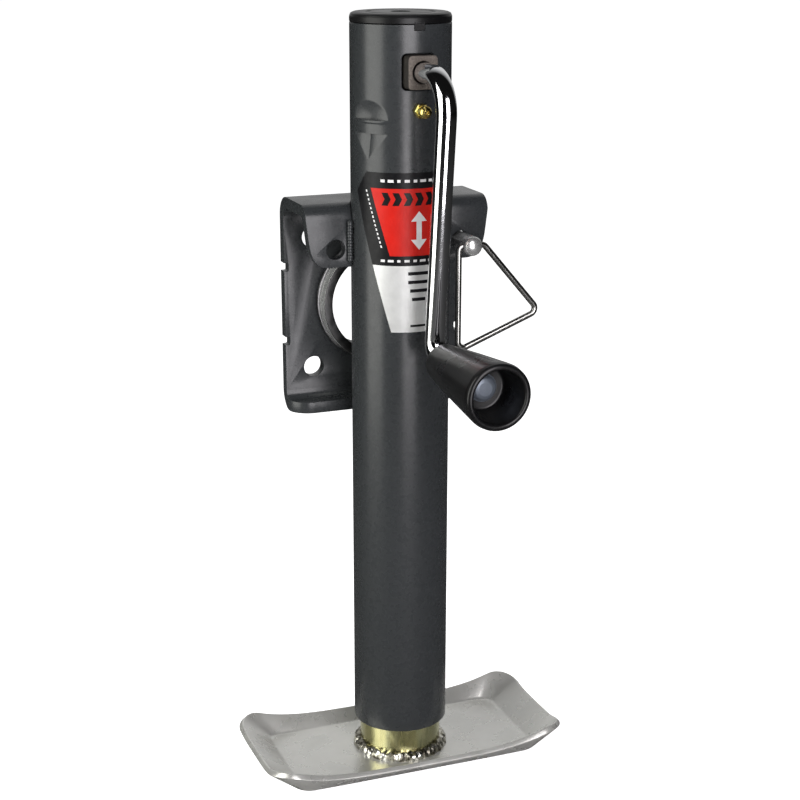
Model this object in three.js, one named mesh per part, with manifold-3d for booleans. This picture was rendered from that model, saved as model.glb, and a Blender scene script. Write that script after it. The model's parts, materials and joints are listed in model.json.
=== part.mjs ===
// Side-wind trailer tongue jack with a round swivel mount, retracted, standing on its foot.
// Millimetres, +Z up, origin on the ground under the tube's axis. The crank side faces -Y and
// the trailer side faces +Y.
import * as THREE from 'three';
import { mergeVertices } from 'three/addons/utils/BufferGeometryUtils.js';
import Module from 'manifold-3d';

const wasm = await Module();
wasm.setup();

// ---- Driving dimensions -------------------------------------------------------------------
const FIT = 0.3;                 // gap between pieces that touch
const ROUND = 40;                // sides on the large round pieces
const SMALL_ROUND = 16;          // sides on the small ones

const TUBE_R = 25.4;             // 2 in outer tube
const TUBE_INNER_R = 22.63;
const TUBE_BOTTOM = 21.1;
const TUBE_TOP = 397.1;
const CAP_TOP = 402;

const RAM_R = 22.225;            // 1 3/4 in inner tube
const RAM_INNER_R = 19.2;
const RAM_TOP = 330;

const PLATE = 3;                 // foot plate sheet thickness
const FOOT_FLOOR = [68, 30.7];   // half length and half width of the flat floor
const FOOT_RIM = [86.2, 40.65];  // half length and half width over the rim

const CRANK_Z = 375;             // crank axis, and the apex of the bevel gear pair
const CRANK_R = 5;
const CRANK_INNER_R = 4;         // turned down inside the tube
const ARM_TOP_Y = -61;
const ARM_BOTTOM_Y = -45.5;
const ARM_TOP_BEND = 17;         // centre line radii of the rod's two bends
const ARM_BOTTOM_BEND = 9;
const CRANK_REAR_Y = 31;
const CLIP_GROOVE = [27.8, 29.2];
const CLIP_GROOVE_R = 3.3;
const GRIP_Z = 237.7;
const GRIP_START_Y = -57;
const GRIP_FLOOR_Y = -104.5;     // floor of the hollow in the grip's end
const GRIP_END_Y = -125;
const ROD_END_Y = -107;

const WINDOW_HALF = 8.5;         // windows for the bushings, either side of the tube
const WINDOW_LOW = CRANK_Z - 8.6;
const WINDOW_HIGH = CRANK_Z + 8.4;
const BUSHING_HALF = 7.7;
const BUSHING_FRONT_Y = -30;
const BUSHING_REAR_Y = 27.5;
const BUSHING_INNER_Y = 20.2;
const FITTING_Z = 356.5;         // grease fitting
const FITTING_TIP_Y = -35.5;

const GEAR_PITCH_R = 19;
const PINION_PITCH_R = 9.5;
const GEAR_TEETH = 20;
const PINION_TEETH = 10;
const FACE_START = 14 / 19;      // inner end of the teeth as a share of the cone distance
const GEAR_PIN_Z = 355;
const GEAR_PIN_R = 1.5;
const PINION_PIN_Y = -10.5;
const PINION_PIN_R = 1.2;

const SCREW_LEAD = 7.9375;       // 5/16 in, so 32 turns of the screw lift 254 mm
const SCREW_MINOR_R = 7.3;
const SCREW_MAJOR_R = 9.5;
const SCREW_BOTTOM = 45;
const COLLAR_BOTTOM = 332;
const COLLAR_TOP = 337.5;
const SHANK_R = 8.3;             // plain part of the screw inside the bearing
const SHANK_TOP = 351.6;
const GEAR_SEAT_R = 6;           // top of the screw, inside the gear's hub
const SCREW_TOP = 364.4;
const BEARING_INNER_R = 8.9;
const BEARING_OUTER_R = 17.5;
const BALLS = 8;
const BALL_R = 1.9;
const BALL_CIRCLE_R = 13.1;
const BALL_Z = 341.4;
const SEAT_BOTTOM = 345.3;
const SEAT_TOP = 351.3;

const PIVOT_Z = 250;             // swivel axis height
const PIPE_R = 31.75;            // 2 1/2 in pivot pipe
const PIPE_INNER_R = 27;
const PIPE_FRONT_Y = 29;
const PIPE_REAR_Y = 50;

const BRACKET_HALF = 50;         // half width of the bracket
const BRACKET_LOW = 192;
const BRACKET_HIGH = 308;
const SHEET = 6;                 // bracket sheet thickness
const BACK_Y = 46.1;             // rear face of the bracket's back plate
const TAB_Y = 2.4;               // front face of its tabs
const LIP_Y = 28;                // front edge of its lower lip
const TAB_LOW = 276;             // lower edge of its tabs
const BEND_R = 5;                // inside radius of its bends, and of the tighter ones by the tabs
const TAB_BEND_R = 2;
const LIP_CORNER_R = 12;
const HOLE_X = 34.3;             // the lock holes' distance from the pivot axis
const HOLE_Z = 35.3;
const TAB_HOLE_R = 5.2;
const PLATE_HOLE_R = 5.6;
const NOTCH = 4.5;               // index notches in the back plate's side edges
const NOTCH_OFFSET = 20;

const PIN_R = 4.75;              // 3/8 in lock pin
const PIN_FRONT_Y = -17.5;
const PIN_TIP_Y = 61;
const PIN_HEAD_R = 5.1;
const PIN_Z = PIVOT_Z + HOLE_Z;
const DETENT_Y = 57;
const RING_Y = -12;
const RING_WIRE_R = 1.6;
const RING_CORNERS = [[27.5, PIN_Z], [41.6, PIN_Z], [73.7, 248], [27.5, 230]];

// ---- Solids from three.js geometry ----------------------------------------------------------
function signedVolume(points, corners) {
  const [a, b, c] = [new THREE.Vector3(), new THREE.Vector3(), new THREE.Vector3()];
  let sum = 0;
  for (let i = 0; i < corners.length; i += 3) {
    a.fromArray(points, corners[i] * 3);
    b.fromArray(points, corners[i + 1] * 3);
    c.fromArray(points, corners[i + 2] * 3);
    sum += a.dot(b.cross(c));
  }
  return sum;
}

// A closed three.js geometry as a manifold solid, with its faces turned outwards.
function solid(geometry) {
  const bare = geometry.clone();
  bare.deleteAttribute('normal');
  bare.deleteAttribute('uv');
  const merged = mergeVertices(bare);
  const points = merged.attributes.position.array;
  const corners = merged.index.array;
  let triangles = [];
  for (let i = 0; i < corners.length; i += 3) {
    const [a, b, c] = corners.slice(i, i + 3);
    if (a !== b && b !== c && c !== a) triangles.push(a, b, c);
  }
  if (signedVolume(points, triangles) < 0) triangles = triangles.reverse();
  return new wasm.Manifold(new wasm.Mesh({
    numProp: 3,
    vertProperties: new Float32Array(points),
    triVerts: new Uint32Array(triangles),
  }));
}

function geometryOf(body) {
  const mesh = body.getMesh();
  const geometry = new THREE.BufferGeometry();
  geometry.setAttribute('position', new THREE.BufferAttribute(mesh.vertProperties, 3));
  geometry.setIndex(new THREE.BufferAttribute(mesh.triVerts, 1));
  geometry.computeVertexNormals();
  return geometry;
}

// A profile of [radius, height] points turned about +Z.
function turned(profile, sides = ROUND) {
  const points = profile.map(([radius, height]) => new THREE.Vector2(radius, height));
  return new THREE.LatheGeometry(points, sides).rotateX(Math.PI / 2);
}

const rod = (radius, from, to, sides = SMALL_ROUND) =>
  turned([[0, from], [radius, from], [radius, to], [0, to]], sides);

const ring = (inner, outer, from, to, sides = ROUND) =>
  turned([[inner, from], [outer, from], [outer, to], [inner, to], [inner, from]], sides);

const alongY = (geometry) => geometry.rotateX(-Math.PI / 2);
const alongX = (geometry) => geometry.rotateY(Math.PI / 2);

function box(low, high) {
  const size = high.map((value, i) => value - low[i]);
  const middle = high.map((value, i) => (value + low[i]) / 2);
  return new THREE.BoxGeometry(...size).translate(...middle);
}

// An outline in X and Z, pushed from one Y to another.
function slabXZ(outline, fromY, toY) {
  const options = { depth: toY - fromY, bevelEnabled: false, curveSegments: 8 };
  return new THREE.ExtrudeGeometry(outline, options).rotateX(Math.PI / 2).translate(0, toY, 0);
}

// An outline in Y and Z, pushed along X.
function slabYZ(outline, fromX, toX) {
  const options = { depth: toX - fromX, bevelEnabled: false, curveSegments: 6 };
  const turn = new THREE.Matrix4().makeBasis(
    new THREE.Vector3(0, 1, 0), new THREE.Vector3(0, 0, 1), new THREE.Vector3(1, 0, 0),
  );
  return new THREE.ExtrudeGeometry(outline, options).applyMatrix4(turn).translate(fromX, 0, 0);
}

function outlineOf(points) {
  return new THREE.Shape(points.map(([x, y]) => new THREE.Vector2(x, y)));
}

// A skin through rings that hold the same number of points, closed by caps or on itself.
function loft(rings, closedLoop = false) {
  const count = rings[0].length;
  const points = rings.flat().flatMap((point) => point.toArray());
  const faces = [];
  const spans = closedLoop ? rings.length : rings.length - 1;
  for (let k = 0; k < spans; k += 1) {
    for (let i = 0; i < count; i += 1) {
      const here = k * count;
      const next = ((k + 1) % rings.length) * count;
      const j = (i + 1) % count;
      faces.push(here + i, here + j, next + j, here + i, next + j, next + i);
    }
  }
  const caps = closedLoop ? [] : [[0, true], [rings.length - 1, false]];
  for (const [k, first] of caps) {
    const middle = new THREE.Vector3();
    rings[k].forEach((point) => middle.add(point));
    middle.divideScalar(count);
    const centre = points.length / 3;
    points.push(...middle.toArray());
    for (let i = 0; i < count; i += 1) {
      const a = k * count + i;
      const b = k * count + ((i + 1) % count);
      if (first) faces.push(centre, b, a);
      else faces.push(centre, a, b);
    }
  }
  const geometry = new THREE.BufferGeometry();
  geometry.setAttribute('position', new THREE.Float32BufferAttribute(points, 3));
  geometry.setIndex(faces);
  return geometry;
}

// Centre line of a bent wire: straight runs joined by arcs of the given radius at each corner.
// Each station holds a place and a direction.
function bentLine(corners, radii, closedLoop, steps = 5) {
  const stations = [];
  const total = corners.length;
  corners.forEach((corner, i) => {
    if (!closedLoop && (i === 0 || i === total - 1)) {
      const other = i === 0 ? corners[1] : corners[total - 2];
      const run = i === 0 ? other.clone().sub(corner) : corner.clone().sub(other);
      stations.push({ at: corner.clone(), along: run.normalize() });
      return;
    }
    const before = corners[(i + total - 1) % total].clone().sub(corner).normalize();
    const after = corners[(i + 1) % total].clone().sub(corner).normalize();
    const half = before.angleTo(after) / 2;
    const reach = radii[i] / Math.tan(half);
    const inwards = before.clone().add(after).normalize();
    const centre = corner.clone().addScaledVector(inwards, radii[i] / Math.sin(half));
    const start = before.clone().multiplyScalar(reach).add(corner).sub(centre);
    const end = after.clone().multiplyScalar(reach).add(corner).sub(centre);
    const axis = start.clone().cross(end).normalize();
    const sweep = start.angleTo(end);
    for (let step = 0; step <= steps; step += 1) {
      const arm = start.clone().applyAxisAngle(axis, (sweep * step) / steps);
      stations.push({ at: centre.clone().add(arm), along: axis.clone().cross(arm).normalize() });
    }
  });
  return stations;
}

// A round wire of the given radius along the stations; side is square to every run.
function wire(stations, radius, side, sides, closedLoop) {
  const rings = stations.map(({ at, along }) => {
    const across = along.clone().cross(side).normalize();
    return Array.from({ length: sides }, (_, i) => {
      const angle = (2 * Math.PI * i) / sides;
      return at.clone()
        .addScaledVector(side, radius * Math.cos(angle))
        .addScaledVector(across, radius * Math.sin(angle));
    });
  });
  return loft(rings, closedLoop);
}

// ---- Outer tube ---------------------------------------------------------------------------
const CRIMP_ANGLES = [-60, 60, 180];   // degrees round from the crank side

// Half of an ellipsoid sunk in the tube wall, above (side 1) or below (side -1) its flat side.
function crimpForm({ halfWidth, height, flat, side }, depth, angle) {
  const form = new THREE.SphereGeometry(1, 16, 8);
  form.scale(halfWidth, depth, height).translate(0, -TUBE_R - 0.6, flat);
  const [low, high] = side > 0 ? [flat, flat + 20] : [flat - 20, flat];
  const half = solid(form).intersect(solid(box([-30, -40, low], [30, 0, high])));
  return solid(geometryOf(half).rotateZ(THREE.MathUtils.degToRad(angle)));
}

function outerTube() {
  const dent = 3.4;
  const bulge = 5.9;
  const crimps = [
    { halfWidth: 16, height: 10, flat: SEAT_TOP + 0.4, side: 1 },
    { halfWidth: 14, height: 12.5, flat: SEAT_BOTTOM - 0.3, side: -1 },
  ];
  const within = solid(rod(TUBE_R - 0.4, 300, 380, ROUND));
  let tube = solid(ring(TUBE_INNER_R, TUBE_R, TUBE_BOTTOM, TUBE_TOP));
  for (const angle of CRIMP_ANGLES) {
    for (const crimp of crimps) {
      tube = tube.add(crimpForm(crimp, bulge, angle).intersect(within));
      tube = tube.subtract(crimpForm(crimp, dent, angle));
    }
  }
  for (const [front, rear] of [[-30, -15], [15, 30]]) {
    const window = box([-WINDOW_HALF, front, WINDOW_LOW], [WINDOW_HALF, rear, WINDOW_HIGH]);
    tube = tube.subtract(solid(window));
  }
  tube = tube.subtract(solid(alongY(rod(3, -30, -20)).translate(0, 0, FITTING_Z)));
  const capNotch = box([-2.9, -30, TUBE_TOP - 2.8], [2.9, -20, TUBE_TOP + 1]);
  return tube.subtract(solid(capNotch));
}

function topCap() {
  const under = TUBE_TOP + FIT;
  const skirtR = TUBE_INNER_R - 0.43;
  const skirtInnerR = 19.6;
  const skirtBottom = 389;
  const roof = CAP_TOP - 3;
  const cap = solid(turned([
    [0, CAP_TOP], [22.4, CAP_TOP], [24.4, CAP_TOP - 0.6], [TUBE_R, CAP_TOP - 1.8], [TUBE_R, under],
    [skirtR, under], [skirtR, skirtBottom], [skirtInnerR, skirtBottom], [skirtInnerR, roof], [0, roof],
  ]));
  const tab = box([-2.6, -TUBE_R + 0.1, TUBE_TOP - 2.5], [2.6, -22, under + 1]);
  return cap.add(solid(tab));
}

// ---- Crank, its bushings and its grip -------------------------------------------------------
function bushing(fromY, toY, bore) {
  const low = [-BUSHING_HALF, fromY, WINDOW_LOW + 0.4];
  const high = [BUSHING_HALF, toY, WINDOW_HIGH - FIT];
  const hole = alongY(rod(bore, -40, 40)).translate(0, 0, CRANK_Z);
  return solid(box(low, high)).subtract(solid(hole));
}

function crankRod() {
  const corners = [
    new THREE.Vector3(0, -19.9, CRANK_Z),
    new THREE.Vector3(0, ARM_TOP_Y, CRANK_Z),
    new THREE.Vector3(0, ARM_BOTTOM_Y, GRIP_Z),
    new THREE.Vector3(0, ROD_END_Y, GRIP_Z),
  ];
  const line = bentLine(corners, [0, ARM_TOP_BEND, ARM_BOTTOM_BEND, 0], false, 6);
  const bent = wire(line, CRANK_R, new THREE.Vector3(1, 0, 0), 18, false);
  const shaft = alongY(rod(CRANK_INNER_R, -20.5, CRANK_REAR_Y, 20)).translate(0, 0, CRANK_Z);
  const groove = alongY(ring(CLIP_GROOVE_R, 6, ...CLIP_GROOVE, 20)).translate(0, 0, CRANK_Z);
  return solid(bent).add(solid(shaft)).subtract(solid(groove)).subtract(pinionPinHole());
}

function pinionPinHole() {
  return solid(alongX(rod(PINION_PIN_R + FIT, -8, 8, 12)).translate(0, PINION_PIN_Y, CRANK_Z));
}

function crankClip() {
  const [front, rear] = CLIP_GROOVE;
  const clip = alongY(ring(CLIP_GROOVE_R + FIT, 7.2, front + FIT, rear - FIT, 20));
  const gap = box([-2.4, front - 1, CRANK_Z - 9], [2.4, rear + 1, CRANK_Z - 2]);
  return solid(clip.translate(0, 0, CRANK_Z)).subtract(solid(gap));
}

// A profile of [radius, distance in front of the crank axis's origin] turned about the grip's axis.
function onGripAxis(profile, sides) {
  return solid(turned(profile, sides).rotateX(Math.PI / 2).translate(0, 0, GRIP_Z));
}

function handleGrip() {
  const bore = CRANK_R + 0.35;
  const start = -GRIP_START_Y;
  const floor = -GRIP_FLOOR_Y;
  const end = -GRIP_END_Y;
  return onGripAxis([
    [bore, start], [8.5, start], [9.7, start + 1.5], [10.2, start + 7], [11.3, start + 16], [12.9, 87],
    [14, 98], [15.1, 109], [16, 118], [16.3, 121.5], [15.9, 124.2], [14.9, end],
    [13.6, end], [12.8, end - 1], [11.6, 110], [11, floor], [bore, floor], [bore, start],
  ], 24);
}

function gripRetainer() {
  const start = -GRIP_FLOOR_Y + 0.4;
  const cap = onGripAxis([
    [0, start], [6.9, start], [6.9, start + 1], [6.2, start + 2.5], [4.4, start + 3.5], [0, start + 3.9],
  ], 20);
  const socketR = CRANK_R + FIT;
  const socketEnd = -ROD_END_Y + FIT;
  const socket = onGripAxis([
    [0, start - 1], [socketR, start - 1], [socketR, socketEnd], [0, socketEnd],
  ], 16);
  return cap.subtract(socket);
}

// ---- Bevel gear pair ------------------------------------------------------------------------
// Both cones have their apex at the origin here and open towards +Z; a tooth is a wedge that
// narrows towards the apex, from the root flank up to the tip.
const CONE = Math.hypot(GEAR_PITCH_R, PINION_PITCH_R);
const ADDENDUM = 1.2;
const DEDENDUM = 1.8;

function conePoint(pitchAngle, share, offset, turn) {
  const distance = CONE * share;
  const radius = distance * Math.sin(pitchAngle) + offset * share * Math.cos(pitchAngle);
  const height = distance * Math.cos(pitchAngle) - offset * share * Math.sin(pitchAngle);
  return new THREE.Vector3(radius * Math.sin(turn), radius * Math.cos(turn), height);
}

function bevelTooth(pitchAngle, teeth, index, phase) {
  const pitch = (2 * Math.PI) / teeth;
  const middle = pitch * (index + phase);
  const [tipHalf, rootHalf] = [0.13 * pitch, 0.3 * pitch];
  const rings = [1, FACE_START].map((share) => [
    conePoint(pitchAngle, share, -DEDENDUM - 0.5, middle - rootHalf),
    conePoint(pitchAngle, share, ADDENDUM, middle - tipHalf),
    conePoint(pitchAngle, share, ADDENDUM, middle + tipHalf),
    conePoint(pitchAngle, share, -DEDENDUM - 0.5, middle + rootHalf),
  ]);
  return loft(rings);
}

function bevelBlank(pitchAngle, extra) {
  const root = (share) => {
    const point = conePoint(pitchAngle, share, -DEDENDUM, 0);
    return [point.y, point.z];
  };
  return turned([...extra.back, root(1), root(FACE_START), ...extra.front], 20);
}

function withTeeth(blank, pitchAngle, teeth, phase) {
  let gear = solid(blank);
  for (let index = 0; index < teeth; index += 1) {
    gear = gear.add(solid(bevelTooth(pitchAngle, teeth, index, phase)));
  }
  return gear;
}

function gearPinHole() {
  return solid(alongX(rod(GEAR_PIN_R + FIT, -20, 20, 12)).translate(0, 0, GEAR_PIN_Z));
}

function screwGear() {
  const pitchAngle = Math.atan2(GEAR_PITCH_R, PINION_PITCH_R);
  const blank = bevelBlank(pitchAngle, {
    back: [[6.3, 10.4], [6.3, 23.1], [13, 23.1], [13, 17.5], [17, 14]],
    front: [[12.6, 9.4], [11.6, 10.4], [6.3, 10.4]],
  });
  const gear = withTeeth(blank, pitchAngle, GEAR_TEETH, 0);
  const upright = solid(geometryOf(gear).rotateX(Math.PI).translate(0, 0, CRANK_Z));
  return upright.subtract(gearPinHole());
}

function crankPinion() {
  const pitchAngle = Math.atan2(PINION_PITCH_R, GEAR_PITCH_R);
  const blank = bevelBlank(pitchAngle, {
    back: [[4.3, 8], [4.3, 19.9], [7.8, 19.9]],
    front: [[5.9, 14.4], [5.9, 8], [4.3, 8]],
  });
  const pinion = withTeeth(blank, pitchAngle, PINION_TEETH, 0.5);
  const onCrank = solid(geometryOf(pinion).rotateX(Math.PI / 2).translate(0, 0, CRANK_Z));
  return onCrank.subtract(pinionPinHole());
}

// A pin through a gear's hub and its shaft, along X.
function crossPin(radius, halfLength, y, z) {
  return solid(alongX(rod(radius, -halfLength, halfLength, 12)).translate(0, y, z));
}

// ---- Lead screw, nut and thrust bearing -------------------------------------------------------
// A left-hand trapezoidal thread: grow widens every face by the running clearance.
function threadedRod(from, to, grow) {
  const perTurn = 10;
  const turns = Math.ceil((to - from) / SCREW_LEAD) + 2;
  const start = Math.floor(from / SCREW_LEAD) * SCREW_LEAD - SCREW_LEAD;
  const flank = grow * 0.5;
  const root = SCREW_MINOR_R + grow;
  const crest = SCREW_MAJOR_R + grow;
  const profile = [
    [-flank, root], [0.18 * SCREW_LEAD - flank, crest],
    [0.5 * SCREW_LEAD + flank, crest], [0.68 * SCREW_LEAD + flank, root],
  ];
  const points = [];
  const steps = turns * perTurn;
  for (let step = 0; step <= steps; step += 1) {
    const angle = (-2 * Math.PI * step) / perTurn;
    const rise = start + (SCREW_LEAD * step) / perTurn;
    for (const [height, radius] of profile) {
      points.push(radius * Math.cos(angle), radius * Math.sin(angle), rise + height);
    }
  }
  const at = (step, k) => step * 4 + k;
  const faces = [];
  const quad = (a, b, c, d) => faces.push(a, b, c, a, c, d);
  for (let step = 0; step < steps; step += 1) {
    for (let k = 0; k < 3; k += 1) {
      quad(at(step, k), at(step, k + 1), at(step + 1, k + 1), at(step + 1, k));
    }
    if (step + perTurn < steps) {
      quad(at(step, 3), at(step + perTurn, 0), at(step + perTurn + 1, 0), at(step + 1, 3));
    }
  }
  const fan = (centre, loop) => loop.forEach((point, i) => {
    faces.push(centre, point, loop[(i + 1) % loop.length]);
  });
  const lowLoop = [3, 2, 1].map((k) => at(0, k));
  for (let step = 0; step <= perTurn; step += 1) lowLoop.push(at(step, 0));
  points.push(0, 0, start + SCREW_LEAD / 2);
  fan(points.length / 3 - 1, lowLoop);
  const highLoop = [0, 1, 2].map((k) => at(steps, k));
  for (let step = steps; step >= steps - perTurn; step -= 1) highLoop.push(at(step, 3));
  points.push(0, 0, start + (turns + 0.2) * SCREW_LEAD);
  fan(points.length / 3 - 1, highLoop);
  const geometry = new THREE.BufferGeometry();
  geometry.setAttribute('position', new THREE.Float32BufferAttribute(points, 3));
  geometry.setIndex(faces);
  return solid(geometry).intersect(solid(rod(SCREW_MAJOR_R + 2, from, to)));
}

function leadScrew() {
  const top = turned([
    [0, COLLAR_BOTTOM - 0.5], [SCREW_MINOR_R - 0.3, COLLAR_BOTTOM - 0.5], [13, COLLAR_BOTTOM + 0.8],
    [13, COLLAR_TOP], [SHANK_R, COLLAR_TOP], [SHANK_R, SHANK_TOP], [GEAR_SEAT_R, SHANK_TOP],
    [GEAR_SEAT_R, SCREW_TOP], [0, SCREW_TOP],
  ], SMALL_ROUND);
  const screw = threadedRod(SCREW_BOTTOM, COLLAR_BOTTOM, 0).add(solid(top));
  return screw.subtract(gearPinHole());
}

function liftNut() {
  const bottom = RAM_TOP - 25;
  const blank = solid(rod(RAM_INNER_R - 0.35, bottom, RAM_TOP - FIT, ROUND));
  return blank.subtract(threadedRod(bottom - 2, RAM_TOP + 2, 0.65));
}

function ballCage() {
  let cage = solid(ring(10.4, 15.9, BALL_Z - 0.7, BALL_Z + 0.7, 20));
  for (let index = 0; index < BALLS; index += 1) {
    const turn = (2 * Math.PI * index) / BALLS;
    const ball = new THREE.SphereGeometry(BALL_R, 6, 5);
    ball.translate(BALL_CIRCLE_R * Math.cos(turn), BALL_CIRCLE_R * Math.sin(turn), BALL_Z);
    cage = cage.add(solid(ball));
  }
  return cage;
}

function thrustWasher(bottom) {
  return solid(ring(BEARING_INNER_R, BEARING_OUTER_R, bottom, bottom + 1.4));
}

// ---- Foot -------------------------------------------------------------------------------------
function roundedOutline(halfX, halfY, radius, heightAt) {
  const points = [];
  const add = (x, y) => points.push(new THREE.Vector3(x, y, heightAt(x / halfX, y / halfY)));
  const corners = [[1, 1, 0], [-1, 1, 90], [-1, -1, 180], [1, -1, 270]];
  corners.forEach(([signX, signY, startAngle], index) => {
    for (let step = 0; step <= 5; step += 1) {
      const angle = THREE.MathUtils.degToRad(startAngle + 18 * step);
      const x = signX * (halfX - radius) + radius * Math.cos(angle);
      add(x, signY * (halfY - radius) + radius * Math.sin(angle));
    }
    const long = index % 2 === 0;
    const pieces = long ? 6 : 4;
    for (let step = 1; step < pieces; step += 1) {
      const share = 1 - (2 * step) / pieces;
      if (long) add(share * signX * (halfX - radius), signY * halfY);
      else add(signX * halfX, share * signY * (halfY - radius));
    }
  });
  return points;
}

// Height of the upturned rim: low along the sides, higher at the ends, highest at the corners.
function rimHeight(shareX, shareY) {
  const [endness, sideness] = [shareX ** 4, shareY ** 4];
  return 12.5 * endness + 9 * sideness - 0.6 * endness * sideness;
}

function footPlate() {
  const [floorX, floorY] = FOOT_FLOOR;
  const [rimX, rimY] = FOOT_RIM;
  return solid(loft([
    roundedOutline(floorX + 2.4, floorY + 2.4, 9, () => 0),
    roundedOutline(rimX, rimY, 15, (x, y) => rimHeight(x, y) - 2),
    roundedOutline(rimX - 1.8, rimY - 2, 13, rimHeight),
    roundedOutline(floorX, floorY, 7, () => PLATE),
  ]));
}

function footWeld() {
  const inner = RAM_R + FIT;
  const foot = PLATE + FIT;
  return solid(turned([
    [inner, foot], [27, foot], [26.6, foot + 1.4], [24.6, foot + 3.6], [inner, foot + 5], [inner, foot],
  ], 48));
}

// ---- Swivel bracket and its welds ---------------------------------------------------------------
// Outline of the bent sheet in Y and Z: lower lip, back plate, top, and the tabs by the tube.
function bracketSection() {
  const [quarter, half] = [Math.PI / 2, Math.PI];
  const outer = BEND_R + SHEET;
  const tabOuter = TAB_BEND_R + SHEET;
  const bendY = BACK_Y - outer;
  const [lowBendZ, highBendZ] = [BRACKET_LOW + outer, BRACKET_HIGH - outer];
  const [tabBendY, tabBendZ] = [TAB_Y + tabOuter, BRACKET_HIGH - tabOuter];
  const outline = new THREE.Shape();
  outline.moveTo(LIP_Y, BRACKET_LOW);
  outline.lineTo(bendY, BRACKET_LOW);
  outline.absarc(bendY, lowBendZ, outer, -quarter, 0, false);
  outline.lineTo(BACK_Y, highBendZ);
  outline.absarc(bendY, highBendZ, outer, 0, quarter, false);
  outline.lineTo(tabBendY, BRACKET_HIGH);
  outline.absarc(tabBendY, tabBendZ, tabOuter, quarter, half, false);
  outline.lineTo(TAB_Y, TAB_LOW);
  outline.lineTo(TAB_Y + SHEET, TAB_LOW);
  outline.lineTo(TAB_Y + SHEET, tabBendZ);
  outline.absarc(tabBendY, tabBendZ, TAB_BEND_R, half, quarter, true);
  outline.lineTo(bendY, BRACKET_HIGH - SHEET);
  outline.absarc(bendY, highBendZ, BEND_R, quarter, 0, true);
  outline.lineTo(BACK_Y - SHEET, lowBendZ);
  outline.absarc(bendY, lowBendZ, BEND_R, 0, -quarter, true);
  outline.lineTo(LIP_Y, BRACKET_LOW + SHEET);
  return outline;
}

// What is cut off the lip's corner to round it, on one side.
function lipCorner(side) {
  const x = side * (BRACKET_HALF - LIP_CORNER_R);
  const y = LIP_Y + LIP_CORNER_R;
  const [low, high] = [BRACKET_LOW - 10, BRACKET_LOW + SHEET + BEND_R];
  const far = side * (BRACKET_HALF + 10);
  const square = box([Math.min(x, far), LIP_Y - 1, low], [Math.max(x, far), y, high]);
  return solid(square).subtract(solid(rod(LIP_CORNER_R, low - 1, high + 1, 32).translate(x, y, 0)));
}

function swivelBracket() {
  let bracket = solid(slabYZ(bracketSection(), -BRACKET_HALF, BRACKET_HALF));
  const clear = TUBE_R + 0.35;
  bracket = bracket.subtract(solid(rod(clear, 150, 350, ROUND)));
  bracket = bracket.subtract(solid(box([-clear, -20, 240], [clear, 0, 340])));
  bracket = bracket.subtract(solid(alongY(rod(PIPE_R + 0.35, 20, 60, ROUND)).translate(0, 0, PIVOT_Z)));

  for (const side of [-1, 1]) {
    const tabCorner = new THREE.Shape();
    tabCorner.moveTo(side * 70, TAB_LOW - 6);
    tabCorner.lineTo(side * 38.2, TAB_LOW - 6);
    tabCorner.lineTo(side * 38.2, TAB_LOW);
    tabCorner.quadraticCurveTo(side * 46.8, TAB_LOW + 0.4, side * (BRACKET_HALF - 1.5), TAB_LOW + 13);
    tabCorner.lineTo(side * BRACKET_HALF, TAB_LOW + 25);
    tabCorner.lineTo(side * 70, TAB_LOW + 25);
    bracket = bracket.subtract(solid(slabXZ(tabCorner, -5, 15)));
    bracket = bracket.subtract(lipCorner(side));

    for (const [z, front, rear, radius] of [
      [HOLE_Z, -5, 15, TAB_HOLE_R], [HOLE_Z, 35, 50, PLATE_HOLE_R], [-HOLE_Z, 35, 50, PLATE_HOLE_R],
    ]) {
      const hole = alongY(rod(radius, front, rear)).translate(side * HOLE_X, 0, PIVOT_Z + z);
      bracket = bracket.subtract(solid(hole));
    }
    for (const offset of [-NOTCH_OFFSET, NOTCH_OFFSET]) {
      const notch = new THREE.BoxGeometry(5, 30, NOTCH);
      notch.translate(side * BRACKET_HALF, BACK_Y, PIVOT_Z + offset);
      bracket = bracket.subtract(solid(notch));
    }
  }
  return bracket;
}

function uprightWeld(side) {
  const bead = new THREE.CapsuleGeometry(1.5, 19, 4, 10).rotateX(Math.PI / 2);
  return solid(bead.translate(side * 27.25, 0.5, 289.5));
}

function levelWeld(y, z) {
  const bead = new THREE.CapsuleGeometry(1.2, 20, 4, 10).rotateZ(Math.PI / 2);
  return solid(bead.translate(0, y, z));
}

// ---- Pivot pipe on the trailer side ---------------------------------------------------------------
function pivotRing(inner, outer, front, rear) {
  return alongY(ring(inner, outer, front, rear)).translate(0, 0, PIVOT_Z);
}

function mountPipe() {
  const pipe = solid(pivotRing(PIPE_INNER_R, PIPE_R, PIPE_FRONT_Y, PIPE_REAR_Y));
  return pipe.subtract(solid(pivotRing(30.3, 36, 36.4, 39)));
}

function snapRing() {
  const full = solid(pivotRing(30.6, 32.8, 36.7, 38.7));
  return full.subtract(solid(box([-3.5, 30, PIVOT_Z - 40], [3.5, 45, PIVOT_Z - 20])));
}

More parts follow.
